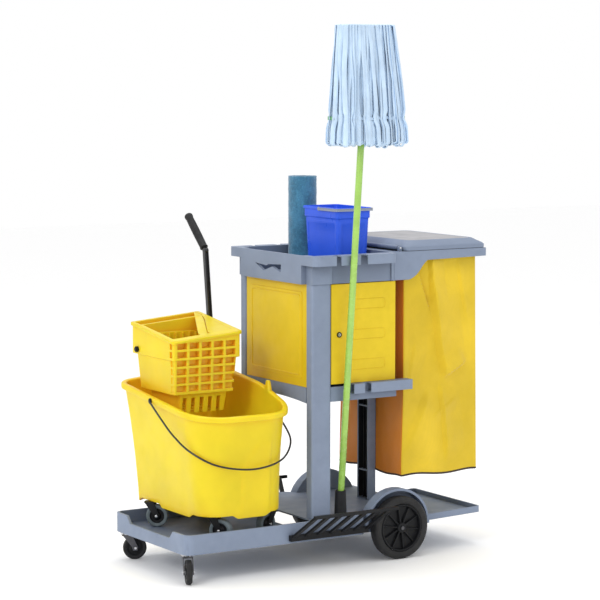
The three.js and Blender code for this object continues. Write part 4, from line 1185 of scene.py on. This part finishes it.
def pail_handle():
    """Flat grey handle lying round three sides of the rim, on a button at each end."""
    low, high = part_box("blue_bucket_bail")
    z = (low.z + high.z) / 2
    inset, corner, end = 0.0012, 0.012, high.y - 0.002
    left, right, front = low.x + inset, high.x - inset, low.y + inset + corner
    plan = ([(left, end)] + arc((left + corner, front), corner, 180, 270, 6)
            + arc((right - corner, front), corner, 270, 360, 6) + [(right, end)])
    line = [Vector((x, y, z)) for x, y in plan]
    rings = []
    half_section = [(-1.1, -4.4), (1.1, -4.4), (1.2, -3.6), (0.7, -2.8), (0.7, 2.8), (1.2, 3.6)]
    section = half_section + [(-a, -b) for a, b in half_section]
    for i, point in enumerate(line):
        ahead = (line[min(i + 1, len(line) - 1)] - line[max(i - 1, 0)]).normalized()
        out = Vector((ahead.y, -ahead.x, 0))
        rings.append([point + out * a * MM + up(b * MM) for a, b in section])
    parts = [skin(rings, caps=(True, True))]
    pivot_place, _ = pivot("pail_handle")
    for x, out in ((low.x, -1), (high.x, 1)):
        profile = ([(0.0001, -0.0016), (0.0062, -0.0016)] + arc((0.005, 0.0002), 0.0012, 0, 90, 4)
                   + [(0.0001, 0.0014)])
        parts.append(lathe(profile, Vector((x - out * 0.0016, pivot_place.y, z)), (out, 0, 0), 28))
    piece("pail_handle", merged(parts), "grey_trim", "pail_handle", ["blue_bucket_bail"], smooth=40)


ROLL = {"pitch": 0.0052, "inner": 0.007, "steps": 420, "rows": 56, "thickness": 0.0040}


def cloth_roll():
    """One long terry cloth rolled into a tight spiral."""
    low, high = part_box("cloth_roll")
    centre = (low + high) / 2
    outer = (high.x - low.x) / 2 - 0.0012
    turns = (outer - ROLL["inner"]) / ROLL["pitch"]
    rings = []
    for i in range(ROLL["steps"] + 1):
        share = i / ROLL["steps"]
        angle = TAU * turns * math.sqrt(share)
        radius = ROLL["inner"] + ROLL["pitch"] * angle / TAU
        column = []
        for j in range(ROLL["rows"] + 1):
            z = mix(low.z, high.z - 0.0015, j / ROLL["rows"])
            seed = Vector((math.cos(angle) * radius * 60, math.sin(angle) * radius * 60, z * 50))
            puff = 0.0009 * noise.noise(seed) + 0.0008 * noise.noise(seed * 3.1)
            place = radius + min(puff, 0.0009)
            lift = 0.0012 * noise.noise(Vector((share * 40, 3, 7))) if j in (0, ROLL["rows"]) else 0
            column.append(Vector((centre.x + place * math.cos(angle), centre.y + place * math.sin(angle),
                                  z + abs(lift) * (1 if j == 0 else -1))))
        rings.append(column)
    roll = piece("terry_roll", skin(rings, closed=False), "teal_cloth", "roll", ["cloth_roll"], smooth=80)
    thicken(roll, ROLL["thickness"])


# ---------------------------------------------------------------- assembly
def finish_cad_nodes():
    """Every CAD node that still shows takes its slot's material."""
    for part in frame["record"]["subparts"]:
        obj = frame["nodes"][part["node"]]
        if not obj.material_slots:
            obj.data.materials.append(MATERIALS[part["material_slot"]])
        dark = part["node"].startswith(DARK_NODES)
        for socket in obj.material_slots:
            socket.material = DARK_STEEL if dark else MATERIALS[part["material_slot"]]


DARK_NODES = ("caster_fork", "rear_axle")
MATERIALS = looks()
DARK_STEEL = metal("dark_steel", (0.10, 0.10, 0.11), 0.3).material
GREEN_TIE = moulded("green_tie", (0.16, 0.36, 0.20), 0.6).material
camera()
studio()
finish_cad_nodes()
wheels()
doors()
front_panel()
corner_webs()
column_liner()
lid()
waste_bag()
mop_pole()
mop_strips()
bucket()
wringer_rim()
gear_cover()
wringer_ribs()
lever_grip()
pail()
pail_handle()
cloth_roll()
